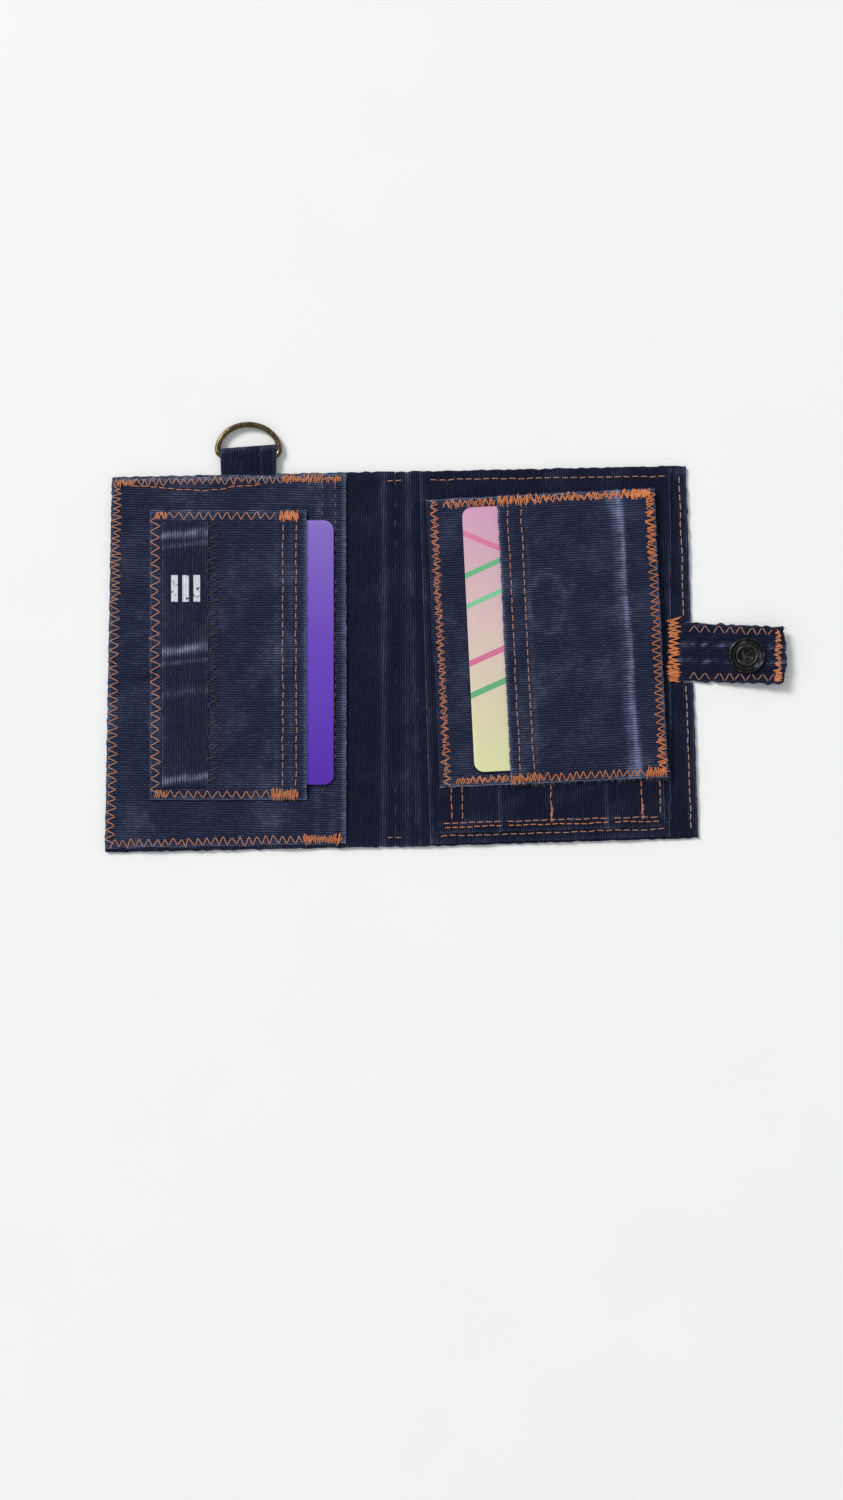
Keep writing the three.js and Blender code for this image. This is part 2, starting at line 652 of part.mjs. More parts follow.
// ---------------------------------------------------------------- leaf with its pocket and card
const leaf = new THREE.Group();
leaf.position.set(leafCentre[0], leafCentre[1], 0);
leaf.rotation.z = rad(leafTurn);
wallet.add(leaf);
const leafOutline = rectangle(leafWidth, leafHeight);
const leafLeft = -leafWidth / 2;
const leafFold = leafLeft + leafFoldInset;
const leafSecondFold = leafFold + leafStrip;
const leafAxisHeight = leafBase + leafThick / 2;
const leafSlits = foldSlit(leafFold, leafAxisHeight).add(foldSlit(leafSecondFold, leafAxisHeight));
const leafSheetSolid = plate(leafOutline, leafBase, leafTop).subtract(leafSlits);
const leafSpine = leafSheetSolid.intersect(block(leafFold, leafSecondFold, -far, far, -far, far));
const leafPage = leafSheetSolid.intersect(block(leafSecondFold, far, -far, far, -far, far));
addPart(leaf, "leaf_spine", leafSpine, denim);
addPart(leaf, "leaf_page", leafPage, denim);

const leafPocketOutline = rectangle(leafWidth - leafPocketHem, leafHeight, leafPocketHem / 2, 0);
const leafMargins = [seamWidth, seamWidth, seamWidth, open];
const leafPocket = pocket(leafPocketOutline, leafMargins, rightCardBase, leafSheet, leafPocketTop);
addPart(leaf, "leaf_pocket", leafPocket, denim);

const onLeafPocket = leafPocketTop + threadGap;
const leafBandEnd = leafHemRows[1] + rowWidth + bandGap;
const leafBandOutline = inset(leafPocketOutline, [bandInset, bandInset, bandInset, leafBandEnd]);
const leafBandWidths = [zigzagWidth, zigzagWidth, zigzagWidth, open];
const leafBand = threadBand(leafBandOutline, leafBandWidths, onLeafPocket);
addPart(leaf, "leaf_pocket_zigzag", leafBand, orangeThread);
const pageZigzagStart = leafSecondFold + 1;
const pageZigzagEnd = leafLeft + leafPocketHem - 0.6;
for (const [name, side] of [["top", 1], ["bottom", -1]]) {
  const y = side * (leafHeight / 2 - bandInset - zigzagWidth / 2);
  const band = row([pageZigzagStart, y], [pageZigzagEnd, y], leafTop + threadGap, zigzagWidth);
  addPart(leaf, `leaf_page_zigzag_${name}`, band, orangeThread);
}
const spineZigzagX = (leafFold + leafSecondFold) / 2;
const spineZigzagReach = leafHeight / 2 - 2 * bandInset;
const spineZigzagFrom = [spineZigzagX, -spineZigzagReach];
const spineZigzagTo = [spineZigzagX, spineZigzagReach];
const spineZigzag = row(spineZigzagFrom, spineZigzagTo, leafTop + threadGap, leafStrip - 2);
addPart(leaf, "leaf_spine_zigzag", spineZigzag, orangeThread);
leafHemRows.forEach((distance, i) => {
  const x = leafLeft + leafPocketHem + distance;
  const reach = leafHeight / 2 - hemRowInset;
  addPart(leaf, `leaf_pocket_hem_stitch_${i + 1}`, row([x, -reach], [x, reach], onLeafPocket), orangeThread);
});
const rightCardX = leafLeft + rightCardInset + cardWidth / 2;
addPart(leaf, "right_card", roundedCard(rightCardX, rightCardMiddle, rightCardBase), pastelCard);

// ---------------------------------------------------------------- strap
const strapOutline = [
  [strapFold, strapFoot],
  [strapTip - 1.3, strapFoot - 1.1],
  [strapTip - 0.4, strapFoot + 3.1],
  [strapTip, strapFoot + 8.3],
  [strapTip - 0.2, strapFoot + 13],
  [strapTip - 1.6, strapHead - 1.6],
  [strapFold, strapHead],
];
const strapAxisHeight = strapThick / 2;
const strapSlits = foldSlit(strapFold, strapAxisHeight).add(foldSlit(strapSecondFold, strapAxisHeight));
const strapLayers = { back: [0, shellThick], face: [shellThick + layGap, strapThick] };
const tip = new THREE.Group();
// The tip is drawn flat and turned up about its fold line.
tip.position.set(strapSecondFold, 0, strapAxisHeight);
tip.rotation.y = -rad(strapLift);
wallet.add(tip);
const tipShift = [-strapSecondFold, 0, -strapAxisHeight];
function addTip(name, solid, look) {
  addPart(tip, name, geometryOf(solid).translate(...tipShift), look);
}

const rivetHole = disc(snapX, snapY, rivetRadius + 0.25, -far, far);
const bridgeSpan = block(strapFold, strapSecondFold, -far, far, -far, far);
const tipSpan = block(strapSecondFold, far, -far, far, -far, far);
for (const [name, [low, high]] of Object.entries(strapLayers)) {
  const layer = plate(strapOutline, low, high).subtract(strapSlits);
  addPart(wallet, `strap_bridge_${name}`, layer.intersect(bridgeSpan), denimDark);
  addTip(`strap_tip_${name}`, layer.intersect(tipSpan).subtract(rivetHole), denimDark);
}
const anchorOutline = [
  [anchorStart, strapFoot],
  [strapFold, strapFoot],
  [strapFold, strapHead],
  [anchorStart, strapHead],
];
const anchor = plate(anchorOutline, liningBase, liningBase + shellThick).subtract(strapSlits);
addPart(wallet, "strap_anchor", anchor.intersect(block(-far, strapFold, -far, far, -far, far)), denimDark);

const bartackWidth = 5.6;
const bartackX = anchorStart - innerPanelMargin / 3; // over the joint of the strap and the inner panel
const bartack = row([bartackX, strapFoot], [bartackX, strapHead + 1.4], innerTop + threadGap, bartackWidth);
addPart(wallet, "strap_bartack", bartack, orangeThread);
const tipZigzagEnd = strapTip - 5;
const strapZigzagWidth = 2.8;
const strapZigzagInset = 2; // strap's edge to the middle of its zigzag
const strapEdges = [
  { name: "top", side: -1, edge: strapHead, slope: -0.045 },
  { name: "bottom", side: 1, edge: strapFoot, slope: -0.035 },
];
const socketHoleInThread = disc(snapX, snapY, socketRadius + cutGap, -far, far);
for (const { name, side, edge, slope } of strapEdges) {
  const at = (x) => [x, edge + side * strapZigzagInset + slope * (x - strapFold)];
  const bridgeEnd = at(strapSecondFold - foldStop);
  const bridgeRow = row(at(strapFold + foldStop), bridgeEnd, strapFace, strapZigzagWidth);
  addPart(wallet, `strap_bridge_zigzag_${name}`, bridgeRow, orangeThread);
  const tipRow = row(at(strapSecondFold + foldStop), at(tipZigzagEnd), strapFace, strapZigzagWidth);
  addTip(`strap_tip_zigzag_${name}`, tipRow.subtract(socketHoleInThread), orangeThread);
}
const tipBartackX = strapTip - 2.9;
const tipBartack = row([tipBartackX, strapFoot - 0.7], [tipBartackX, strapHead - 2.1], strapFace, 3.2);
addTip("strap_tip_bartack", tipBartack, orangeThread);

// ---------------------------------------------------------------- snap cap, socket and spring on the strap
const capSkin = -0.05;
const rivetTop = strapFace + 0.08;
const capProfile = [
  [0, -capHeight],
  [3.4, -capHeight + 0.08],
  [5, -capHeight + 0.3],
  [capRadius, capSkin - 0.25],
  [capRadius, capSkin],
  [rivetRadius, capSkin],
  [rivetRadius, rivetTop],
  [0, rivetTop],
];
addTip("snap_cap", turned(capProfile, snapX, snapY), gunmetal);
const grooveRadius = socketHole + 0.25;
const collarRadius = socketHole + 0.7;
const socketProfile = [
  [rivetRadius + 0.15, 0],
  [socketRadius - 0.3, 0],
  [socketRadius, 0.3],
  [socketRadius, 0.75],
  [socketRadius - 0.3, 1.05],
  [socketRadius - 0.8, 1.05],
  [socketRadius - 1.15, 0.5],
  [collarRadius + 0.3, 0.5],
  [collarRadius, 1],
  [collarRadius - 0.15, socketHeight - 0.05],
  [socketHole, socketHeight - 0.05],
  [socketHole, socketHeight - 0.25],
  [grooveRadius, socketHeight - 0.3],
  [grooveRadius, 0.3],
  [rivetRadius + 0.15, 0.3],
].map(([r, z]) => [r, z + strapFace]);
addTip("snap_socket", turned(socketProfile, snapX, snapY), gunmetal);

const springX = studNeckRadius + 0.2 + springWire;
const springY = 1.9;
const springZ = strapFace + 0.79;
const springPath = new THREE.CurvePath();
const springAt = (x, y) => new THREE.Vector3(snapX + x, snapY + y, springZ);
const springCorners = [
  [-springX, -springY],
  [-springX, springY],
  [springX, springY],
  [springX, -springY],
];
springCorners.slice(1).forEach((to, i) => {
  springPath.add(new THREE.LineCurve3(springAt(...springCorners[i]), springAt(...to)));
});
const springSides = springPath.curves.map((curve) => {
  const extend = curve.v2.clone().sub(curve.v1).setLength(springWire);
  const path = new THREE.LineCurve3(curve.v1.clone().sub(extend), curve.v2.clone().add(extend));
  const section = new THREE.Shape();
  section.absarc(0, 0, springWire, 0, 2 * Math.PI);
  return solidOf(new THREE.ExtrudeGeometry(section, { extrudePath: path, steps: 1, curveSegments: 4 }));
});
addTip("socket_spring", springSides[0].add(springSides[1]).add(springSides[2]), springSteel);

export default wallet;
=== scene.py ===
# %% [markdown]
# # A denim card wallet, hand-sewn from old jeans
# The wallet lies open. It is a book of two panels joined by a narrow spine, with a page-like leaf on
# the right, two cards, a ring on a loop, and a strap with a ring-spring snap. This lesson dresses the
# working frame of the wallet in real cloth, thread and metal. Everything is in metres, +Z is up, and
# each piece is placed from the frame, so nothing has to be fitted afterwards.

# %% Load the frame
import json
import math

import bmesh
import bpy
import numpy as np
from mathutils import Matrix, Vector


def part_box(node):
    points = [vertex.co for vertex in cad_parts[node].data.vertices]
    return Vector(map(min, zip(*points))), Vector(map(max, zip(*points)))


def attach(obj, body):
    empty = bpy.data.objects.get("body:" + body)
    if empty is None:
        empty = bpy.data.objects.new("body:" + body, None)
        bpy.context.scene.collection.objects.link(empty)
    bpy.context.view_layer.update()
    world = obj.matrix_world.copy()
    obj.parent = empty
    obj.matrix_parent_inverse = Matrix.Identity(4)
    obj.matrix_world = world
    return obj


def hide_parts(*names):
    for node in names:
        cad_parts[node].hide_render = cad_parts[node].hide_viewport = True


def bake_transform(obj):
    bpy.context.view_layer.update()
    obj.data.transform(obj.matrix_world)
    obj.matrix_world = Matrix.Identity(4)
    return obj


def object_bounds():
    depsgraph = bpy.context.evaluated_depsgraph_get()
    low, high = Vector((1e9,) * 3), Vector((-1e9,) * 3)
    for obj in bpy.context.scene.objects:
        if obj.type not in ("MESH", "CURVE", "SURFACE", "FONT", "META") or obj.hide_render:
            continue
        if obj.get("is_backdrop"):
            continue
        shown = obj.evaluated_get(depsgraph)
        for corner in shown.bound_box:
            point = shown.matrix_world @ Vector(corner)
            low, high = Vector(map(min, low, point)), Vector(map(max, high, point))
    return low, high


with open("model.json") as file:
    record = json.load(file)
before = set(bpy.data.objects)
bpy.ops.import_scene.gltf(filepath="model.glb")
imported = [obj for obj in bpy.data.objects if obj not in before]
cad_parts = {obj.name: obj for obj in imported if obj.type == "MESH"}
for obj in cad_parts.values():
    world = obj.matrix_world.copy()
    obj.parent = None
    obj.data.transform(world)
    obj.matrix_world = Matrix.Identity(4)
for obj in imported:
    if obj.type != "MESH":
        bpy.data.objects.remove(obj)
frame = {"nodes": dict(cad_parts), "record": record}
frame_low, frame_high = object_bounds()
mm = 0.001
full_turn = 2 * math.pi
print("frame box in mm:", [round(x / mm, 1) for x in (*frame_low, *frame_high)])

# %% [markdown]
# ## Camera first
# The wallet is seen from straight above, from a little under half a metre away, which is how a hand
# holds a camera over a table. A long lens from far away would hide how the leaf stands over the panel.

# %% Camera
camera_place = (8.5 * mm, -29.5 * mm, 450 * mm)
lens_length, sensor_width = 33.15, 36
camera_data = bpy.data.cameras.new("camera")
camera_data.lens = lens_length
camera_data.sensor_width = sensor_width
camera = bpy.data.objects.new("camera", camera_data)
camera.location = camera_place
bpy.context.scene.collection.objects.link(camera)
bpy.context.scene.camera = camera


# %% [markdown]
# ## Shader maths as plain sums
# A pattern is a sum: ribs times wear plus noise. Written as nodes by hand, that is a long list of
# links. This small class wraps a socket, so that `ribs * 0.4 + 0.6` adds its own Math nodes.

# %% A class for shader maths
class Wire:
    """A socket in a material's tree that can be added, multiplied and so on."""

    def __init__(self, tree, socket=None):
        self.tree = tree
        self.socket = socket

    def node(self, kind, settings=None, stops=None, out=0, **inputs):
        made = self.tree.nodes.new(kind)
        for key, value in (settings or {}).items():
            setattr(made, key, value)
        if stops:
            ramp = made.color_ramp
            while len(ramp.elements) < len(stops):
                ramp.elements.new(0.5)
            for element, (place, colour) in zip(ramp.elements, stops):
                element.position = place
                element.color = (*colour, 1)
        for key, value in inputs.items():
            socket = made.inputs[int(key[1:]) if key[1:].isdigit() else key]
            if isinstance(value, Wire):
                self.tree.links.new(value.socket, socket)
            else:
                socket.default_value = value
        return Wire(self.tree, made.outputs[out])

    def math(self, operation, *others):
        return self.node("ShaderNodeMath", {"operation": operation}, i0=self, **{
            f"i{n + 1}": other for n, other in enumerate(others)})

    def __add__(self, other):
        return self.math("ADD", other)

    def __mul__(self, other):
        return self.math("MULTIPLY", other)

    def __sub__(self, other):
        return self.math("SUBTRACT", other)

    def __rsub__(self, other):
        return self * -1 + other

    def __truediv__(self, other):
        return self.math("DIVIDE", other)

    __radd__, __rmul__ = __add__, __mul__

    def wave(self):
        """A sine that swings between 0 and 1."""
        return self.math("SINE") * 0.5 + 0.5

    def parts(self):
        """The x, y and z of a place."""
        split = self.node("ShaderNodeSeparateXYZ", Vector=self).socket.node
        return [Wire(self.tree, output) for output in split.outputs]

    def between(self, low, high):
        """0 below low, 1 above high, and smooth between them."""
        return self.node("ShaderNodeMapRange", {"interpolation_type": "SMOOTHSTEP"},
                         Value=self, **{"From Min": low, "From Max": high})

    def within(self, middle, half, soft):
        """1 closer to the middle than half, and 0 further off, with a soft edge."""
        return 1 - (self - middle).math("ABSOLUTE").between(half - soft, half + soft)

    def mix(self, *colours):
        """The first colour where this is 0, and the second where it is 1."""
        a, b = [c if isinstance(c, Wire) else (*c, 1) for c in colours]
        return self.node("ShaderNodeMix", {"data_type": "RGBA"}, out=2, i0=self, i6=a, i7=b)


def material(name, roughness, metallic=0.0, coat=0.0, sheen=0.0):
    """A new material: its shader, and a starting wire to build patterns from."""
    made = bpy.data.materials.new(name)
    made.use_nodes = True
    shader = made.node_tree.nodes["Principled BSDF"]
    for key, value in (("Roughness", roughness), ("Metallic", metallic), ("Coat Weight", coat),
                       ("Sheen Weight", sheen), ("Sheen Roughness", 0.5)):
        shader.inputs[key].default_value = value
    return made, shader, Wire(made.node_tree)


def noise(start, place, scale, detail=3.0, roughness=0.55):
    return start.node("ShaderNodeTexNoise", Vector=place, Scale=scale, Detail=detail, Roughness=roughness)


def stretched(start, place, size):
    """The same place with each axis multiplied, so that a pattern is drawn out along one of them."""
    return start.node("ShaderNodeVectorMath", {"operation": "MULTIPLY"}, i0=place, i1=size)


def bump(start, shader, height, strength, distance):
    made = start.node("ShaderNodeBump", Strength=strength, Distance=distance, Height=height)
    start.tree.links.new(made.socket, shader.inputs["Normal"])


def use(start, shader, **inputs):
    for key, value in inputs.items():
        start.tree.links.new(value.socket, shader.inputs[key.replace("_", " ")])


# %% [markdown]
# ## Denim
# Jeans cloth is a twill: blue warp over pale weft, packed into fine ribs. Up close it shows ribs,
# slubs where a yarn is thick, and specks of pale weft. It fades where it rubs, which is on hems and
# ridges. The pattern follows the cloth, so it reads the piece's own UV map, laid out in metres with u
# along the ribs. Where it fades comes from an attribute named wear, painted on when a piece is cut.

# %% Denim
def denim(name, dark, light, fade=1.0, rib=0.8 * mm):
    made, shader, start = material(name, 0.9, sheen=0.02)
    shader.inputs["Specular IOR Level"].default_value = 0.12
    cloth_uv = start.node("ShaderNodeUVMap", {"uv_map": "weave"})
    worn = start.node("ShaderNodeAttribute", {"attribute_name": "wear"}, out=2)
    along, across, _ = cloth_uv.parts()
    wander = noise(start, cloth_uv, 260.0, 2.0) * 0.9
    ribs = (across * (full_turn / rib) + wander).wave()
    floats = (along * (full_turn / (1.3 * rib)) + across * (math.pi / rib) + wander).wave()
    slubs = noise(start, stretched(start, cloth_uv, (1, 3.5, 1)), 330.0, 4.0)
    specks = noise(start, stretched(start, cloth_uv, (1, 1.8, 1)), 2100.0, 2.0).between(0.54, 0.72)
    patches = noise(start, cloth_uv, 62.0, 5.0, 0.62)
    pale = (patches.between(0.44, 0.76) * 0.26 + slubs.between(0.42, 0.74) * 0.20 + ribs * 0.30
            + ribs * floats * 0.30 + specks * 0.34) * fade
    pale = pale + worn * (slubs * 1.1 + ribs * 0.5 + specks * 0.5 + floats * 0.15)
    use(start, shader, Base_Color=pale.between(0.16, 1.85).mix(dark, light))
    relief = ribs * 0.8 + floats * ribs * 0.4 + slubs * 0.25 + specks * 0.3 + patches * 1.0
    bump(start, shader, relief, 0.8, 0.14 * mm)
    return made


navy_denim = denim("navy_denim", (0.0046, 0.0068, 0.0245), (0.172, 0.205, 0.335))
deep_denim = denim("deep_denim", (0.0026, 0.0039, 0.0160), (0.135, 0.160, 0.275), fade=0.68)
waistband_denim = denim("waistband_denim", (0.0046, 0.0070, 0.0235), (0.235, 0.265, 0.40), fade=0.75)


# %% [markdown]
# ## Thread
# Topstitching thread is two or three plies twisted together, a little glossy. The twist is a slanting
# stripe in the thread's UV map, whose u runs along the thread in metres and v goes round it. Old
# orange thread varies from bright copper to a dusty brown, so the colour drifts over a few centimetres.

# %% Thread, fray and metal
def thread(name, bright, dull, share, sheen=0.2):
    made, shader, start = material(name, 0.55, sheen=sheen)
    thread_uv = start.node("ShaderNodeUVMap", {"uv_map": "weave"})
    along, around, _ = thread_uv.parts()
    twist = (along * (full_turn / (0.7 * mm)) + around * (2 * full_turn)).wave()
    place = start.node("ShaderNodeTexCoord", out=3)
    drift = (noise(start, place, 70.0, 3.0) * 0.8 + twist * 0.25 - share).between(0.0, 0.3)
    use(start, shader, Base_Color=drift.mix(bright, dull))
    bump(start, shader, twist, 0.6, 0.05 * mm)
    return made


orange_thread = thread("orange_thread", (0.62, 0.175, 0.040), (0.40, 0.155, 0.070), 0.42)
copper_thread = thread("copper_thread", (0.50, 0.155, 0.055), (0.33, 0.175, 0.125), 0.30)
beige_thread = thread("beige_thread", (0.42, 0.20, 0.115), (0.36, 0.23, 0.17), 0.30)
ink_thread = thread("ink_thread", (0.0020, 0.0028, 0.0070), (0.0045, 0.0060, 0.014), 0.40, sheen=0.0)
frayed_cotton = thread("frayed_cotton", (0.085, 0.10, 0.17), (0.24, 0.24, 0.30), 0.45)


def plated(name, dark, rubbed, roughness):
    """Plated metal: dark in the hollows, rubbed bright in specks and streaks."""
    made, shader, start = material(name, roughness, metallic=1.0)
    place = start.node("ShaderNodeTexCoord", out=3)
    rub = noise(start, place, 620.0, 5.0, 0.65)
    use(start, shader, Base_Color=rub.between(0.48, 0.72).mix(dark, rubbed),
        Roughness=rub * 0.25 + (roughness - 0.1))
    bump(start, shader, rub, 0.05, 0.03 * mm)
    return made


gunmetal = plated("gunmetal", (0.024, 0.024, 0.025), (0.12, 0.12, 0.118), 0.26)
# A lighter copy of gunmetal, for the eyelet round the socket's hole.
lighter_gunmetal = plated("lighter_gunmetal", (0.045, 0.045, 0.045), (0.20, 0.20, 0.197), 0.28)
old_brass = plated("old_brass", (0.080, 0.062, 0.032), (0.30, 0.245, 0.135), 0.26)
# The spring's steel is made near black: painted shade for the dark hole that the spring sits in.
spring_steel = plated("spring_steel", (0.010, 0.010, 0.010), (0.045, 0.045, 0.044), 0.4)


# %% [markdown]
# ## Printed cards
# A card is white plastic with print under a thin clear film. The left one fades from light violet to
# deep purple down its height. The right one goes from pink to cream, with a few plain slanting bands.
# Nothing is lettered. Each print reads the card's own coordinates, measured down from its head.

# %% Card prints
def card_finish(name, node, stops, bands=()):
    low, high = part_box(node)
    made, shader, start = material(name, 0.32, coat=0.35)
    place = start.node("ShaderNodeTexCoord", out=3)
    x, y, _ = place.parts()
    tall = high.y - low.y
    down = (high.y - y) / tall
    colour = down.node("ShaderNodeValToRGB", stops=stops, Fac=down)
    for at, slope, width, ink in bands:
        # The band's middle passes through the card's left edge at this share of its height.
        off = y - (high.y - at * tall) - (x - low.x) * slope
        outside = off.math("ABSOLUTE").between(width / 2, width / 2 + 0.15 * mm)
        colour = (1 - outside).mix(colour, ink)
    grain = noise(start, place, 2500.0, 2.0)
    use(start, shader, Base_Color=colour, Roughness=grain * 0.1 + 0.27)
    bump(start, shader, grain, 0.05, 0.02 * mm)
    return made


violets = [(0.0, (0.205, 0.125, 0.50)), (0.45, (0.125, 0.038, 0.46)), (1.0, (0.066, 0.002, 0.38))]
pastels = [(0.0, (0.465, 0.220, 0.365)), (0.5, (0.585, 0.44, 0.40)), (1.0, (0.64, 0.65, 0.345))]
rose, leaf_green, pale_green = (0.55, 0.13, 0.25), (0.10, 0.36, 0.17), (0.16, 0.46, 0.24)
slanting = [(0.12, -0.42, 1.7 * mm, rose), (0.285, 0.46, 1.7 * mm, leaf_green),
            (0.40, 0.46, 1.5 * mm, pale_green), (0.615, 0.45, 1.9 * mm, rose),
            (0.735, 0.45, 1.9 * mm, leaf_green)]
violet_print = card_finish("violet_print", "left_card", violets)
pastel_print = card_finish("pastel_print", "right_card", pastels, slanting)


# %% [markdown]
# ## Modelling helpers
# An operator acts on everything that is selected, so each piece starts by deselecting all. A finished
# piece keeps its place in its mesh, with its object at the origin.

# %% Start and finish a piece
def deselect():
    for o in bpy.context.selected_objects:
        o.select_set(False)


def started(name):
    """The primitive that was just added, named and ready to be shaped."""
    piece = bpy.context.object
    piece.name = piece.data.name = name
    return piece


def only(piece):
    """Selects this piece and nothing else."""
    deselect()
    piece.select_set(True)
    bpy.context.view_layer.objects.active = piece


def edit(piece):
    """Into edit mode with everything selected."""
    only(piece)
    bpy.ops.object.mode_set(mode="EDIT")
    bpy.ops.mesh.select_all(action="SELECT")


def added(name, data):
    """A new object for this data, in the scene."""
    made = bpy.data.objects.new(name, data)
    bpy.context.scene.collection.objects.link(made)
    return made


def bevelled(piece, width, sharp):
    """Breaks every edge that turns more sharply than this many degrees."""
    rim = piece.modifiers.new("rim", "BEVEL")
    rim.width = width
    rim.segments = 2
    rim.angle_limit = math.radians(sharp)


def thickened(piece, thick):
    """Gives a sheet its thickness, on the upper side."""
    solid = piece.modifiers.new("thickness", "SOLIDIFY")
    solid.thickness = thick
    solid.offset = 1


def finished(piece, look, angle=40):
    """Applies the place and the modifiers, and gives the piece its look."""
    only(piece)
    bpy.ops.object.transform_apply(location=True, rotation=True, scale=True)
    for modifier in list(piece.modifiers):
        bpy.ops.object.modifier_apply(modifier=modifier.name)
    bpy.ops.object.shade_smooth_by_angle(angle=math.radians(angle))
    piece.data.materials.clear()
    piece.data.materials.append(look)
    return piece


def dress(piece, body, *nodes, slot="denim"):
    """Hides the frame's nodes that the piece stands for, and puts it on its body."""
    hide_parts(*nodes)
    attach(piece, body)
    return piece


def points_of(piece):
    co = np.empty(len(piece.data.vertices) * 3)
    piece.data.vertices.foreach_get("co", co)
    return co.reshape(-1, 3)


def move_points(piece, x, y, z):
    piece.data.vertices.foreach_set("co", np.stack([x, y, z], 1).ravel())
    piece.data.update()


def lay_weave(data, u, v):
    """Writes the weave map, in metres, from one value of u and v for each point."""
    loops = np.empty(len(data.loops), int)
    data.loops.foreach_get("vertex_index", loops)
    weave = data.uv_layers[0]
    weave.name = "weave"
    weave.data.foreach_set("uv", np.stack([u[loops], v[loops]], 1).ravel())


def paint_wear(piece, worn):
    made = piece.data.attributes.new("wear", "FLOAT", "POINT")
    made.data.foreach_set("value", np.clip(worn, 0, 1))


def smooth(t):
    t = np.clip(t, 0, 1)
    return t * t * (3 - 2 * t)


rng = np.random.default_rng(7)
waves = [(rng.uniform(9, 30) * mm, *rng.uniform(0, full_turn, 2)) for _ in range(6)]


def ripple(x, y):
    """A gentle, even-sized wander from about -1 to 1, the same for every piece at the same place."""
    return sum(np.sin((x * math.cos(turn) + y * math.sin(turn)) * full_turn / size + start)
               for size, turn, start in waves) / 3.2


def band(t, middle, width):
    """A soft ridge of wear at one place."""
    return np.exp(-(((t - middle) / width) ** 2))


def both_ends(t, width):
    """A soft ridge of wear where t is 0 and where it is 1."""
    return band(np.minimum(t, 1 - t), 0, width)


def patchy(x, y, share):
    """An uneven 1, which goes down by this share here and there."""
    return 1 - share + share * ripple(x, y)


def faded(x, y, most):
    """Pale clouds on an otherwise unworn cloth."""
    return most * np.clip(ripple(x, y), 0, 1)


def node_points(node):
    return np.array([v.co[:] for v in frame["nodes"][node].data.vertices])


def corners_of(node):
    """A flat node's corners seen from above: foot left, foot right, head right, head left."""
    co = node_points(node)[:, :2]
    return [Vector(co[(co @ np.array(d)).argmax()]) for d in ((-1, -1), (1, -1), (1, 1), (-1, 1))]


def line(*points):
    return [tuple(p) for p in points]


def foot_and_head(node):
    """The lines along a flat node's foot and head, both from left to right."""
    foot_left, foot_right, head_right, head_left = corners_of(node)
    return line(foot_left, foot_right), line(head_left, head_right)


def thickness(node):
    low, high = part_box(node)
    return high.z - low.z


# %% [markdown]
# ## How the cloth lies
# Real panels never lie dead flat: their sewn edges lift a little, and the pocket bulges over the snap
# stud that is riveted under it. Every layer of a panel follows one shared relief, so the layers keep
# their order and never cut through each other. Under the cards the relief is nothing, because a card
# keeps the cloth flat.

# %% Relief shared by all layers
stud_low, stud_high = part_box("snap_stud")
stud = (stud_low + stud_high) / 2
stud_depth = stud_high.z
shell_left_corners = corners_of("shell_left")
shell_right_corners = corners_of("shell_right")
half_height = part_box("shell_spine")[1].y
edge_lift = 0.55 * mm
flat_from = 12 * mm  # cloth lies flat this far in from the panels' edges


def lift(x, y):
    """How far the sewn edges of the panels stand off the table."""
    left = shell_left_corners[0].x
    right = shell_right_corners[1].x
    inside = np.minimum.reduce([half_height + 1 * mm - np.abs(y), x - left, right - x])
    near_edge = 1 - smooth(inside / flat_from)
    away_from_strap = smooth((np.hypot((right - x) / 1.4, y - 2.5 * mm) - 12 * mm) / (10 * mm))
    return edge_lift * near_edge * patchy(x, y, 0.5) * away_from_strap


def bulge(x, y):
    """1 over the stud, falling to 0 a little way outside it."""
    away = np.hypot(x - stud.x, y - stud.y)
    return 1 - smooth((away - 6.4 * mm) / (2.4 * mm))


def ease(x, y):
    return np.maximum(lift(x, y), 0)


# %% [markdown]
# ## Cutting a piece of cloth
# A panel is a fine grid laid between two lines, its foot and its head, so a slanting or bent edge is
# easy. Height, wear and a slightly uneven cut edge are worked out point by point, then Solidify gives
# it its thickness and a narrow bevel takes the sharpness off the rim. A cloth simulation would only
# make it slump flat on the table again, so the relief is placed by formula.

# %% Cloth helper
surfaces = {}


def line_at(line, share):
    """Points at these shares of the way along a line of points, from left to right."""
    points = np.array([tuple(p) for p in line])
    run = np.concatenate([[0], np.cumsum(np.linalg.norm(np.diff(points, axis=0), axis=1))])
    want = share * run[-1]
    return np.stack([np.interp(want, run, points[:, 0]), np.interp(want, run, points[:, 1])], 1)


def cut_notch(piece, from_x, foot_y, head_y):
    """Takes out the cloth right of from_x and between two heights on the panel."""
    shape = bmesh.new()
    shape.from_mesh(piece.data)
    centres = [(face, face.calc_center_median()) for face in shape.faces]
    inside = [face for face, c in centres if c.x > from_x and foot_y < c.y < head_y]
    bmesh.ops.delete(shape, geom=inside, context="FACES")
    shape.to_mesh(piece.data)
    shape.free()


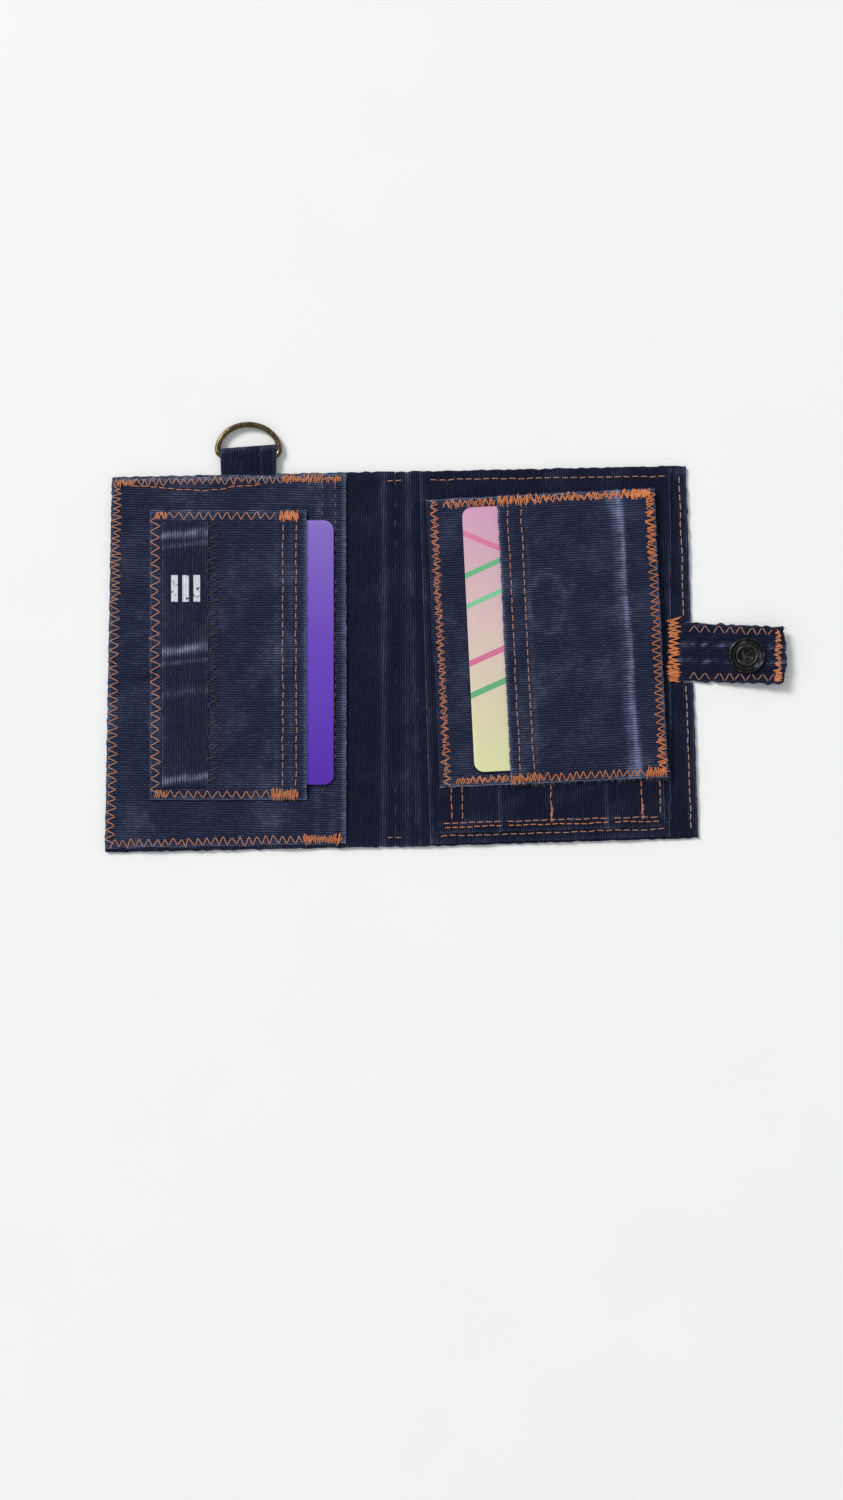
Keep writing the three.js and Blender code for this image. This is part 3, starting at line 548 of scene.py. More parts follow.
def cloth(name, foot, head, low, thick, look, wear, grain="across", cell=1.0, ragged=0.18, bow=0.0,
          notch=None):
    """A sheet between its foot line and its head line. low(x, y) is the height of its underside."""
    width = (Vector(foot[-1]) - Vector(foot[0])).length
    height = (Vector(head[0]) - Vector(foot[0])).length
    columns, rows = (max(2, round(side / (cell * mm))) for side in (width, height))
    deselect()
    bpy.ops.mesh.primitive_grid_add(x_subdivisions=columns, y_subdivisions=rows, size=1)
    piece = started(name)
    u, v, _ = points_of(piece).T + 0.5
    at_foot, at_head = line_at(foot, u), line_at(head, u)
    flat = at_foot + (at_head - at_foot) * v[:, None]
    # The right-hand edge may be rounded out.
    x, y = flat[:, 0] + bow * (1 - (2 * v - 1) ** 2) * smooth(u * 3 - 2), flat[:, 1]
    # The cut edge wanders by a thread or two.
    uneven = ragged * mm * ripple(x * 5.3 + 0.03, y * 5.9)
    x = x + uneven * ((u > 0.9999) * 1.0 - (u < 0.0001))
    y = y + uneven * ((v > 0.9999) * 1.0 - (v < 0.0001))
    # The weave is laid out in metres, with u along the ribs.
    turn = (at_head[0] - at_foot[0]) / np.linalg.norm(at_head[0] - at_foot[0])
    weave = [x * turn[1] - y * turn[0], x * turn[0] + y * turn[1]]
    lay_weave(piece.data, *(weave if grain == "across" else reversed(weave)))
    paint_wear(piece, wear(x, y, u, v))
    move_points(piece, x, y, low(x, y))
    if notch:
        cut_notch(piece, *notch)
    thickened(piece, thick)
    bevelled(piece, 0.3 * thick, 60)
    surfaces[name] = lambda px, py: low(px, py) + thick
    return finished(piece, look, angle=50)


def declare(piece, foot, head, rests_on, with_pieces=()):
    """Says what size the cloth was cut to. The area is the cut's own, because its edges slant."""
    outline = [*foot, *reversed(head)]
    pairs = zip(outline, outline[1:] + outline[:1])
    area = abs(sum(a[0] * b[1] - b[0] * a[1] for a, b in pairs)) / 2
    flat = tuple(max(side) - min(side) for side in zip(*outline))
    print(piece.name, "is cut to", [round(side / mm, 1) for side in flat], "mm")


def bent(piece, nodes, at, reach):
    """Hides the frame's nodes that a piece of cloth stands for, and bakes its place into its mesh."""
    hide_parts(*nodes)
    tuple(at - reach)
    tuple(at + reach)
    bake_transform(piece)


# %% [markdown]
# ## Shell and lining
# On the real wallet each of these is one sheet that bends at the two folds of the spine. Here each
# is cut on the spine's middle line into a left half and a right half.

# %% Shell and lining
strap_low, strap_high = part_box("strap_anchor")
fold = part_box("shell_spine")[1].x
bend_half = 1.6 * mm  # the cloth bends this far each side of a fold
spine_foot, spine_head = (0.0, -half_height), (0.0, half_height)
outlines = {"left": (line(shell_left_corners[0], (-fold, -half_height), spine_foot),
                     line(shell_left_corners[3], (-fold, half_height), spine_head)),
            "right": (line(spine_foot, (fold, -half_height), shell_right_corners[1]),
                      line(spine_head, (fold, half_height), shell_right_corners[2]))}
lining_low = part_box("lining_spine")[0].z


def shell_underside(x, y):
    return ease(x, y) + stud_depth * bulge(x, y)


def lining_underside(x, y):
    """The lining also clears the rim of the snap's post, which lies on the shell."""
    return lining_low + ease(x, y) + (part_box("snap_post")[1].z - lining_low) * bulge(x, y)


def shell_right_edge(y):
    """Where the right-hand edge is at this height."""
    foot_corner, head_corner = shell_right_corners[1:3]
    slant = (head_corner.x - foot_corner.x) / (head_corner.y - foot_corner.y)
    return foot_corner.x + slant * (y - foot_corner.y)


def lining_wear(x, y, u, v):
    """The spine rubs on both of its folds, and the right-hand hem is folded over and faded."""
    folds = 0.30 * band(x, -fold, 1.0 * mm) + 0.18 * band(x, fold, 1.5 * mm)
    crease = 0.34 * band(x + 0.03 * y, 6 * mm, 0.9 * mm) * patchy(x, y * 0.8, 0.5)
    to_edge = shell_right_edge(y) - x
    hem = 0.55 * band(to_edge, 0, 0.9 * mm) + 0.30 * band(to_edge, 2.6 * mm, 0.6 * mm) * patchy(x, y, 0.4)
    return folds + crease + hem + 0.22 * band(np.abs(y), half_height, 1.0 * mm)


def shell_wear(x, y, u, v):
    """The folded edge at the foot is rubbed the palest."""
    rim = np.maximum(both_ends(u, 0.008), band(1 - v, 0, 0.008))
    return 0.3 * rim + 0.75 * band(v, 0, 0.010) * patchy(x * 1.5, y, 0.4)


slot_room = 0.4 * mm
layers = (("shell", shell_underside, shell_wear, strap_high.x),
          ("lining", lining_underside, lining_wear, strap_low.x - slot_room))
for side, way in (("left", -1), ("right", 1)):
    for layer, low, wear, notch_from in layers:
        notch = (notch_from, strap_low.y - slot_room, strap_high.y + slot_room) if way > 0 else None
        sheet = cloth(f"{layer}_cloth_{side}", *outlines[side], low, thickness(f"{layer}_spine"), deep_denim,
                      wear, grain="up", notch=notch)
        bent(sheet, (f"{layer}_{side}", f"{layer}_spine"),
             Vector((way * fold, 0, 0)), Vector((way * bend_half, 0, 0)))
        declare(sheet, *outlines[side], ["table"] if layer == "shell" else [f"shell_cloth_{side}"])


# %% [markdown]
# ## Pockets
# A pocket is a sheet sewn down along three edges and open on the fourth. It stands a little higher in
# its middle than along its sewn edges, because of what it holds. The open edge is a hem: folded over
# twice, thicker, and the first place that fades. Each sheet also stays clear of the cloth under it.

# %% Pocket helper
clear = 0.03 * mm
cloth_thick = 0.4 * mm
hem_rows = (3.4 * mm, 7.6 * mm)  # the rows of stitches, measured in from the open edge
pucker_size = 0.54 * mm


def local(x, y, foot_left, foot_right):
    """Distances along the foot and up from it, and the two directions."""
    axis = (foot_right - foot_left).normalized()
    along = (x - foot_left.x) * axis.x + (y - foot_left.y) * axis.y
    up = (y - foot_left.y) * axis.x - (x - foot_left.x) * axis.y
    return along, up


def pocket_cloth(node, body, open_side, sewn, room, rise, below, wear, rests_on):
    """The sheet of a pocket. sewn and room are its underside's heights, rise the panel's relief."""
    foot_left, foot_right, _, head_left = corners_of(node)
    wide, tall = (foot_right - foot_left).length, (head_left - foot_left).length

    def low(x, y):
        along, up = local(x, y, foot_left, foot_right)
        to_hem = wide - along if open_side == "right" else along
        inside = smooth(np.minimum.reduce([up, tall - up, wide - to_hem]) / (3.4 * mm) - 0.25)
        hem = 0.10 * mm * (1 - smooth((to_hem - 9 * mm) / (0.7 * mm)))
        sag = 0.12 * mm * (ripple(x * 0.9, y * 0.9) + 0.5 * ripple(x * 2.3, y * 2.3))
        # The rows of stitches pull the hem in, and it puckers between them.
        to_and_fro = np.sin(up / pucker_size)
        pull = sum(band(to_hem, at, 0.55 * mm) for at in hem_rows) * (0.75 + 0.25 * to_and_fro)
        pucker = 0.05 * mm * to_and_fro * band(to_hem, hem_rows[0] / 2, 1.5 * mm)
        stack = sewn + (room - sewn + hem + np.abs(sag) + pucker - 0.16 * mm * pull) * inside
        return np.maximum(rise(x, y) + stack, below(x, y) + clear)

    foot, head = foot_and_head(node)
    piece = cloth(f"{node}_cloth", foot, head, low, cloth_thick, navy_denim, wear)
    dress(piece, body, node)
    declare(piece, foot, head, rests_on)


def pocket_wear(open_side, hem_share, strength, rim=0.25):
    """The hem's edge fades most, then the step where the hem's turning ends, then the other edges."""
    def wear(x, y, u, v):
        to_hem = 1 - u if open_side == "right" else u
        uneven = patchy(x * 2.1, y * 2.1, 0.45)
        edge = 2.0 * band(to_hem, 0.004, 0.012) * (0.7 + 0.3 * uneven)
        step = 0.7 * band(to_hem, hem_share, 0.010) + 0.5 * band(to_hem, hem_share / 2, 0.012)
        others = 1.6 * rim * np.maximum(both_ends(v, 0.009), band(1 - to_hem, 0, 0.011))
        return strength * (edge + step * uneven) + others + faded(x * 0.8 + 0.1, y * 0.8, 0.10)
    return wear


# %% Outer pocket and card pocket
outer_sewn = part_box("outer_pocket")[0].z
card_low, card_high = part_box("left_card")
card_gap = 0.1 * mm
pocket_cloth("outer_pocket", "left_panel", "right", outer_sewn, outer_sewn + 0.12 * mm, ease,
             surfaces["lining_cloth_left"], pocket_wear("right", 0.12, 0.34), ["lining_cloth_left"])
pocket_cloth("card_pocket", "left_panel", "right", card_low.z, card_high.z + card_gap,
             lambda x, y: 0 * x, surfaces["outer_pocket_cloth"], pocket_wear("right", 0.19, 0.42),
             ["outer_pocket_cloth", "left_card_print"])

# %% [markdown]
# ## Waistband patch
# The strip on the card pocket was cut from the inside of a waistband, where size marks are printed.
# It is vertical in grain, paler, and rubbed white across its ridges. The marks are left as three
# plain bars of white ink, which sit in the cloth as colour, because real ink has no thickness here.

# %% Waistband patch
patch_foot, patch_head = foot_and_head("waistband_patch")
(patch_left, patch_floor), (patch_right, _) = patch_foot
patch_tall = patch_head[0][1] - patch_floor
on_card_pocket = surfaces["card_pocket_cloth"]
# Each ridge: its place up the patch, its width and its strength.
ridges = ((0.955, 0.014, 1.0), (0.915, 0.008, 0.45), (0.52, 0.016, 1.0), (0.475, 0.007, 0.5),
          (0.36, 0.015, 0.25), (0.035, 0.014, 0.8))


def patch_wear(x, y, u, v):
    rows = sum(strength * band(v - 0.02 * (u - 0.5), at, width) for at, width, strength in ridges)
    return rows * patchy(x * 3, y * 3, 0.3) + 0.16 * band(u, 0, 0.10) + 0.10 * band(u, 1, 0.08)


bar_middles = [patch_left + share * (patch_right - patch_left) for share in (0.28, 0.52, 0.76)]
bar_height = patch_floor + 0.75 * patch_tall
bar_half_wide, bar_half_tall = 1.05 * mm, 0.05 * patch_tall
soft_edge = 0.12 * mm
print("three printed bars,", round(2 * bar_half_tall / mm, 1), "mm tall")
shader = waistband_denim.node_tree.nodes["Principled BSDF"]
start = Wire(waistband_denim.node_tree)
place = start.node("ShaderNodeTexCoord", out=3)
x, y, _ = place.parts()
bars = sum(x.within(middle, bar_half_wide, soft_edge) for middle in bar_middles)
ink = bars * y.within(bar_height, bar_half_tall, soft_edge)
ink = ink * (noise(start, place, 900.0, 3.0).between(0.30, 0.46) * 0.92)
cloth_colour = Wire(start.tree, shader.inputs["Base Color"].links[0].from_socket)
use(start, shader, Base_Color=ink.mix(cloth_colour, (0.62, 0.64, 0.70)))
patch = cloth("waistband_patch_cloth", patch_foot, patch_head, lambda x, y: on_card_pocket(x, y) + clear,
              thickness("waistband_patch"), waistband_denim, patch_wear, grain="up", cell=0.8)
dress(patch, "left_panel", "waistband_patch", slot="worn_denim")
declare(patch, patch_foot, patch_head, ["card_pocket_cloth"])

# %% [markdown]
# ## Inner panel and coin pocket
# Under the leaf lies a pocket for coins, pleated so that it can open. Only its foot and its right-hand
# side show. A pleat is a fold of the cloth over itself: from above, a dark groove with a faded lip.

# %% Inner panel and coin pocket
inner_low, inner_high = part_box("inner_panel")
on_lining_right = surfaces["lining_cloth_right"]


def panel_underside(x, y):
    return np.maximum(inner_low.z + ease(x, y), on_lining_right(x, y) + clear)


def panel_wear(x, y, u, v):
    sides = 0.30 * band(u, 0, 0.012) + 0.36 * band(1 - u, 0, 0.009)
    return sides + 0.25 * band(v, 0, 0.01) + faded(x, y, 0.12)


def right_cloth(node, low, thick, wear, rests_on, cell=1.0):
    """A sheet that lies on the right-hand panel, with its ribs running up."""
    foot, head = foot_and_head(node)
    piece = cloth(f"{node}_cloth", foot, head, low, thick, deep_denim, wear, grain="up", cell=cell)
    dress(piece, "right_panel", node)
    declare(piece, foot, head, [rests_on])
    return surfaces[piece.name]


inner_top = right_cloth("inner_panel", panel_underside, inner_high.z - inner_low.z, panel_wear,
                        "lining_cloth_right")
coin_left, coin_right, _, coin_head = corners_of("coin_pocket")
coin_low, coin_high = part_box("coin_pocket")
coin_wide, coin_tall = (coin_right - coin_left).length, (coin_head - coin_left).length
foot_rows = [corners_of(f"coin_pocket_foot_stitch_{n}") for n in (1, 2, 3)]
pleats = [local(*((a[1] + b[0]) / 2), coin_left, coin_right)[0] for a, b in zip(foot_rows, foot_rows[1:])]
coin_room = coin_high.z - cloth_thick - coin_low.z


def coin_underside(x, y):
    along, up = local(x, y, coin_left, coin_right)
    inside = smooth(np.minimum.reduce([up, along, coin_wide - along]) / (3.6 * mm) - 0.25)
    slanted = along + 0.06 * up
    groove = sum(band(slanted, at, 0.45 * mm) for at in pleats)
    lip = sum(band(slanted, at - 1.5 * mm, 0.9 * mm) for at in pleats)
    sag = 0.08 * mm * ripple(x * 1.6, y * 1.6)
    stack = coin_low.z + (coin_room + sag) * inside * (1 - groove) + 0.2 * mm * lip
    highest = coin_high.z - cloth_thick - 0.02 * mm
    return np.maximum(ease(x, y) + np.minimum(stack, highest), inner_top(x, y) + clear)


def coin_wear(x, y, u, v):
    lips = sum(0.34 * band(u * coin_wide, at - 1.4 * mm, 0.6 * mm) for at in pleats)
    edges = 0.30 * np.maximum(band(v, 0, 0.010), band(1 - u, 0, 0.010))
    seams = 0.16 * band(v * coin_tall, 3.4 * mm, 0.7 * mm)
    return lips + edges + seams + faded(x * 1.3, y * 1.3 + 0.1, 0.12)


on_coin = right_cloth("coin_pocket", coin_underside, cloth_thick, coin_wear, "inner_panel_cloth", cell=0.5)

# %% [markdown]
# ## Leaf
# The leaf is one sheet that turns like a page about a narrow strip on its left. The real sheet bends at
# both edges of that strip. Here it is cut in the strip's middle into a root and the page. Its free
# edges curl a little where the card inside doesn't hold them flat.

# %% Leaf
page_corners, strip_corners = corners_of("leaf_page"), corners_of("leaf_spine")
leaf_axis = (page_corners[1] - page_corners[0]).normalized()
leaf_low, leaf_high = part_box("leaf_page")
leaf_angle = math.atan2(leaf_axis.y, leaf_axis.x)
strip_wide = (page_corners[0] - strip_corners[0]).length
root_foot, root_head = (strip_corners[n] - leaf_axis * 0.4 * mm for n in (0, 3))
middle_foot, middle_head = (strip_corners[n] + leaf_axis * strip_wide / 2 for n in (0, 3))
card_along, card_up = local(*node_points("right_card")[:, :2].T, root_foot, page_corners[1])


def leaf_rise(x, y):
    """The curl of the leaf's free edges, nothing where the card lies."""
    along, up = local(x, y, root_foot, page_corners[1])
    right = smooth((along - card_along.max() - 1 * mm) / (7 * mm)) * patchy(x, y, 0.35) * 0.75
    ends = smooth((np.maximum(card_up.min() - up, up - card_up.max()) - 0.4 * mm) / (3.2 * mm))
    over_strip = smooth((along - 6 * mm) / (5 * mm))
    return np.maximum(right, ends * over_strip * patchy(x * 1.4, y * 1.4, 0.45) * 0.42) * mm


def leaf_wear(x, y, u, v):
    return 0.5 * np.maximum(both_ends(v, 0.009), band(1 - u, 0, 0.012)) + faded(x, y, 0.10)


def leaf_underside(x, y):
    return leaf_low.z + leaf_rise(x, y)


leaf_thick = leaf_high.z - leaf_low.z
root = cloth("leaf_root_cloth", line(root_foot, middle_foot), line(root_head, middle_head),
             leaf_underside, leaf_thick, navy_denim, leaf_wear, cell=0.6)
page_foot, page_head = line(middle_foot, page_corners[1]), line(middle_head, page_corners[2])
page = cloth("leaf_page_cloth", page_foot, page_head, leaf_underside, leaf_thick, navy_denim, leaf_wear)
on_leaf = surfaces["leaf_page_cloth"]
for piece, bodies, at, node in ((root, ("right_panel", "leaf_spine"), 0.0, "leaf_spine"),
                                (page, ("leaf_spine", "leaf"), strip_wide, "leaf_page")):
    fold_place = (strip_corners[0] + leaf_axis * at).to_3d() + Vector((0, 0, leaf_low.z))
    bent(piece, [node], fold_place, leaf_axis.to_3d() * mm)
declare(page, page_foot, page_head, ["coin_pocket_cloth"], with_pieces=[root])


def leaf_pocket_wear(x, y, u, v):
    """As on the other pockets, with a crease worn white where the leaf was folded in a back pocket."""
    crease_at = 0.81 - 0.04 * v + 0.006 * np.sin(v * 17)
    crease = 1.7 * band(u, crease_at, 0.014) + 0.55 * band(u, crease_at - 0.035, 0.028)
    crease = crease * patchy(x * 2, y * 2, 0.28) * (0.80 + 0.20 * np.cos(v * 7))
    ghost = 0.17 * band(np.hypot((u - 0.28) * 1.3, (v - 0.62) * 1.5), 0.15, 0.022)
    return pocket_wear("left", 0.17, 0.36, 0.30)(x, y, u, v) + crease + ghost


right_low, right_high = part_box("right_card")
pocket_cloth("leaf_pocket", "leaf", "left", right_low.z, right_high.z + card_gap, leaf_rise, on_leaf,
             leaf_pocket_wear, ["leaf_page_cloth", "right_card_print"])

# %% [markdown]
# ## Strap
# Two layers of denim, sewn together, come out of the right-hand panel through a notch. The strap folds
# up at the panel's edge and again over the shut wallet, so each layer is cut in the middle of the
# stretch between those folds. Its end is drawn flat and then tilted up a little about its fold line,
# as the working frame has it, with all that is on it.

# %% Strap cloth
joints = frame["record"]["behaviour"]["joints"]
joint_place = {joint["name"]: Vector(joint["pos_m"]) for joint in joints if "pos_m" in joint}
first_fold, second_fold = joint_place["strap_fold"], joint_place["strap_wrap"]
tip_points = node_points("strap_tip_back")
tip_lift = math.radians(7)
past_fold = tip_points - np.array(second_fold)
strap_end = second_fold.x + np.hypot(past_fold[:, 0], past_fold[:, 2]).max()
strap_middle = (first_fold.x + second_fold.x) / 2
strap_thick = 0.5 * mm
strap_face = strap_low.z  # the height of the upper layer's underside


def tilted(piece):
    """Turns what lies past the second fold line up by the strap's lift, bending it in softly."""
    x, y, z = points_of(piece).T
    turn = tip_lift * smooth((x - second_fold.x + 1 * mm) / (2 * mm))
    dx, dz = x - second_fold.x, z - second_fold.z
    move_points(piece, second_fold.x + dx * np.cos(turn) - dz * np.sin(turn), y,
                second_fold.z + dx * np.sin(turn) + dz * np.cos(turn))


def foot_y(x):
    return strap_low.y - 1.1 * mm * (x - first_fold.x) / (31.3 * mm)


def head_y(x):
    return strap_high.y - 1.6 * mm * (x - first_fold.x) / (31 * mm)


def strap_top(x, y):
    return strap_face + strap_thick + 0 * x


def strap_wear(x, y, u, v):
    """A seam pressed through along both sides of the middle, with pale blotches, and faded edges."""
    off_middle = np.abs(y - 2.2 * mm + 0.03 * (x - first_fold.x))
    blotches = np.clip(0.5 + 0.9 * ripple(x * 5, y * 5), 0, 1.3)
    seam = 0.75 * band(off_middle, 2.6 * mm, 0.7 * mm) * blotches
    edges = 0.34 * np.maximum(both_ends(v, 0.03), band(x, strap_end, 0.8 * mm))
    return seam + edges + faded(x * 3 + 0.1, y * 3, 0.12)


strap_nodes = {"back_root": ["strap_bridge_back"], "face_root": ["strap_anchor", "strap_bridge_face"],
               "back_tip": ["strap_tip_back"], "face_tip": ["strap_tip_face"]}
squeeze = 1.3 * mm  # the tip's end is narrower by this much at its corners
bend_reach = Vector((1 * mm, 0, 0))
for layer, base, start_x, rests_on in (("back", 0.0, first_fold.x + 0.05 * mm, "snap_cap"),
                                       ("face", strap_face, strap_low.x, "strap_back_tip")):
    halves = []
    for part, x0, x1, narrower, bodies, at in (
            ("root", start_x, strap_middle, 0.0, ("right_panel", "strap_bridge"), first_fold),
            ("tip", strap_middle, strap_end, squeeze, ("strap_bridge", "strap_tip"), second_fold)):
        foot = line((x0, foot_y(x0)), (x1 - narrower, foot_y(x1)))
        head = line((x0, head_y(x0)), (x1 - 1.2 * narrower, head_y(x1)))
        half = cloth(f"strap_{layer}_{part}", foot, head, lambda x, y, base=base: base + 0 * x, strap_thick,
                     deep_denim, strap_wear, cell=0.7, ragged=0.3, bow=narrower)
        if part == "tip":
            tilted(half)
        bent(half, strap_nodes[f"{layer}_{part}"], Vector((at.x, 0, 0)), bend_reach)
        halves.append(half)
    declare(halves[1], foot, head, [rests_on], with_pieces=halves[:1])

# %% [markdown]
# ## Cards
# A card is a flat plate with round corners and edges that are barely broken. A cube would do for its
# body, but its corners are easier to round while it is still a single face.

# %% Cards
card_size = (card_high.x - card_low.x, card_high.y - card_low.y, 1)
corner_radius = 3.18 * mm


def card(node, look, slot, turn=0.0):
    low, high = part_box(node)
    deselect()
    bpy.ops.mesh.primitive_plane_add(size=1, location=((low.x + high.x) / 2, (low.y + high.y) / 2, low.z))
    piece = started(f"{node}_print")
    piece.scale = card_size
    bpy.ops.object.transform_apply(location=False, rotation=False, scale=True)
    piece.rotation_euler.z = turn
    edit(piece)
    bpy.ops.mesh.bevel(affect="VERTICES", offset=corner_radius, segments=10)
    bpy.ops.mesh.extrude_region_move(TRANSFORM_OT_translate={"value": (0, 0, high.z - low.z)})
    bpy.ops.mesh.select_all(action="SELECT")
    bpy.ops.mesh.normals_make_consistent(inside=False)
    bpy.ops.object.mode_set(mode="OBJECT")
    bevelled(piece, 0.1 * mm, 60)
    finished(piece, look)
    print(node, "has", len(piece.data.polygons), "faces")
    dress(piece, node, node, slot=slot)


card("left_card", violet_print, "violet_card")
card("right_card", pastel_print, "pastel_card", leaf_angle)

# %% [markdown]
# ## Sewing
# A stitch is a short arch of thread between two needle holes: it rises out of the cloth, lies on it and
# dips in again. One stitch is modelled from a six-sided cylinder. A row copies it between its own
# holes into one mesh, and takes the cloth's height under each point, so it follows every bulge.

# %% One stitch
deselect()
bpy.ops.mesh.primitive_cylinder_add(vertices=6, radius=1, depth=1, end_fill_type="NGON")
one_stitch = started("one_stitch")
bpy.ops.object.mode_set(mode="EDIT")
bpy.ops.mesh.select_all(action="DESELECT")
shape = bmesh.from_edit_mesh(one_stitch.data)
for edge in shape.edges:
    edge.select_set(abs(edge.verts[0].co.z - edge.verts[1].co.z) > 0.5)
bmesh.update_edit_mesh(one_stitch.data)
bpy.ops.mesh.subdivide(number_cuts=6)
bpy.ops.object.mode_set(mode="OBJECT")
stitch_co = np.array([v.co[:] for v in one_stitch.data.vertices])
stitch_faces = [tuple(p.vertices) for p in one_stitch.data.polygons]
bpy.data.objects.remove(one_stitch)
across_stitch, over_stitch, along_stitch = stitch_co.T + [[0], [0], [0.5]]
turn_of_stitch = np.abs(np.arctan2(over_stitch, across_stitch)) / math.pi
print("one stitch has", len(stitch_faces), "faces")


def mesh_of(name, co, faces, u, v):
    """A mesh whose weave map is given point by point."""
    data = bpy.data.meshes.new(name)
    data.from_pydata(co.tolist(), [], faces)
    data.uv_layers.new(name="weave")
    lay_weave(data, u, v)
    return added(name, data)


def sew(name, stitches, surface, look, body, nodes=(), slot="orange_thread", size=0.17):
    """stitches holds x and y of both needle holes and the height of the thread over the cloth."""
    holes = np.array(stitches)
    n, k = len(holes), len(along_stitch)
    a, b, over = holes[:, None, 0:2], holes[:, None, 2:4], holes[:, None, 4]
    length = np.linalg.norm(b - a, axis=2)
    side = np.stack([-(b - a)[..., 1], (b - a)[..., 0]], 2) / length[..., None]
    from_middle = np.abs(2 * along_stitch - 1)
    radius = size * mm * (1 - 0.3 * from_middle ** 5)
    bow = (rng.uniform(-0.12, 0.12, (n, 1)) * mm) * np.sin(math.pi * along_stitch)
    middle = a + (b - a) * along_stitch[None, :, None]
    place = middle + side * (across_stitch * radius + bow)[..., None]
    dip = 0.34 * mm * from_middle ** 6
    z = surface(middle[..., 0], middle[..., 1]) + over + 0.6 * size * mm - dip + over_stitch * radius * 0.85
    co = np.concatenate([place, z[..., None]], 2).reshape(-1, 3)
    faces = [tuple(i + j * k for i in face) for j in range(n) for face in stitch_faces]
    u = (length * along_stitch[None, :]).ravel() + np.repeat(np.arange(n) * 0.0137, k)
    made = mesh_of(name, co, faces, u, np.tile(turn_of_stitch, n))
    if body == "strap_tip":
        tilted(made)
    finished(made, look, angle=80)
    dress(made, body, *nodes, slot=slot)


# %% [markdown]
# ## Rows of stitches
# Three kinds are enough: a straight row, a zigzag that holds an edge down, and a bar, where the machine
# runs to and fro on one spot until the thread lies dense. By hand none of them is quite even.

# %% Straight rows, zigzags and bars
def along_line(points, step):
    """Places every step along a line, and the direction across it at each."""
    run = sum((Vector(b) - Vector(a)).length for a, b in zip(points, points[1:]))
    share = np.linspace(0, 1, max(2, round(run / step)) + 1)
    place = line_at(points, share)
    ahead = np.gradient(place, axis=0)
    ahead /= np.linalg.norm(ahead, axis=1)[:, None]
    return place, np.stack([-ahead[:, 1], ahead[:, 0]], 1)


def straight(points, length=2.4, gap=0.42, sway=0.10):
    place, across = along_line(points, (length + gap) * mm)
    place = place + across * rng.normal(0, sway * mm, (len(place), 1))
    ahead = (place[1:] - place[:-1]) / np.linalg.norm(place[1:] - place[:-1], axis=1)[:, None]
    return [(*a, *(b - d * gap * mm), 0.0) for a, b, d in zip(place, place[1:], ahead)]


def zigzag(points, width, pitch, sway=0.16):
    place, across = along_line(points, pitch * mm / 2)
    swing = np.where(np.arange(len(place)) % 2, 0.5, -0.5)[:, None] * width * mm
    holes = place + across * swing + rng.normal(0, sway * mm, place.shape)
    return [(*a, *b, 0.05 * mm * (n % 2)) for n, (a, b) in enumerate(zip(holes, holes[1:]))]


def bar(points, width, step=0.34, pile=0.14):
    place, across = along_line(points, step * mm)
    ends = rng.normal(0, 0.28 * mm, (len(place), 2)) + [[-width / 2 * mm, width / 2 * mm]]
    slant = rng.normal(0, 0.34 * mm, place.shape)
    high = np.abs(rng.normal(0, pile * mm, len(place)))
    return [(*(p + n * e[0] + s), *(p + n * e[1] - s), h)
            for p, n, e, s, h in zip(place, across, ends, slant, high)]


def sewn(*rows):
    """Joins rows of stitches. Each row gives its kind, its two ends and its measures."""
    return [stitch for kind, first, last, *shape in rows for stitch in kind(line(first, last), *shape)]


def sunk(surface, depth):
    """A surface lowered in mm, for thread pulled down into the cloth where another piece slides."""
    return lambda x, y: surface(x, y) - depth * mm


def middle_line(node):
    """The line along the middle of a narrow flat node."""
    a, b, c, d = corners_of(node)
    if (c - b).length > (b - a).length:
        return line((a + b) / 2, (d + c) / 2)
    return line((a + d) / 2, (b + c) / 2)


def band_corners(node, inset):
    """A band's four corners moved in to the band's middle line."""
    foot_left, foot_right, head_right, head_left = corners_of(node)
    right = (foot_right - foot_left).normalized() * inset * mm
    up = (head_left - foot_left).normalized() * inset * mm
    return foot_left + right + up, foot_right - right + up, head_right - right - up, head_left + right - up


def sew_row(name, node, surface, look, body, *shape):
    """One straight row on the middle line of a node."""
    sew(name, straight(middle_line(node), *shape), surface, look, body, [node])


right_mm, up_mm = Vector((mm, 0)), Vector((0, mm))

# %% Stitches on the left panel
on_outer = surfaces["outer_pocket_cloth"]
foot_left, foot_right, head_right, head_left = band_corners("outer_pocket_zigzag", 1.5)
reach_in = 9.5 * right_mm
shoulder = head_left + (foot_left - head_left) * 0.34
outer_sewing = sewn((zigzag, foot_left, shoulder, 3.3, 2.9),
                    (zigzag, shoulder, head_left, 3.0, 1.9, 0.26),
                    (zigzag, foot_left, foot_right, 2.8, 2.7, 0.22),
                    (zigzag, head_left, head_right, 2.5, 2.5, 0.22))
overcast = zigzag(line(head_left + 0.7 * up_mm, head_right + 0.7 * up_mm), 1.5, 1.0, 0.22)
bars = sewn((bar, head_left - 0.9 * right_mm, head_left + 5 * right_mm, 2.2, 0.5),
            (bar, head_right - reach_in, head_right + reach_in, 2.2, 0.55),
            (bar, foot_right - reach_in / 4, foot_right + reach_in, 2.4, 0.42))
top_row = line(*(head_left + Vector(p) * mm for p in ((2, -0.6), (16, -1.8), (30, -2.5), (47, -0.4))))
sew("outer_pocket_top_row", straight(top_row, 2.6, 0.3, 0.16), on_outer, orange_thread, "left_panel",
    size=0.15)
sew("outer_pocket_overcast", overcast, on_outer, frayed_cotton, "left_panel", size=0.12)
sew("outer_pocket_bars", bars, on_outer, orange_thread, "left_panel")
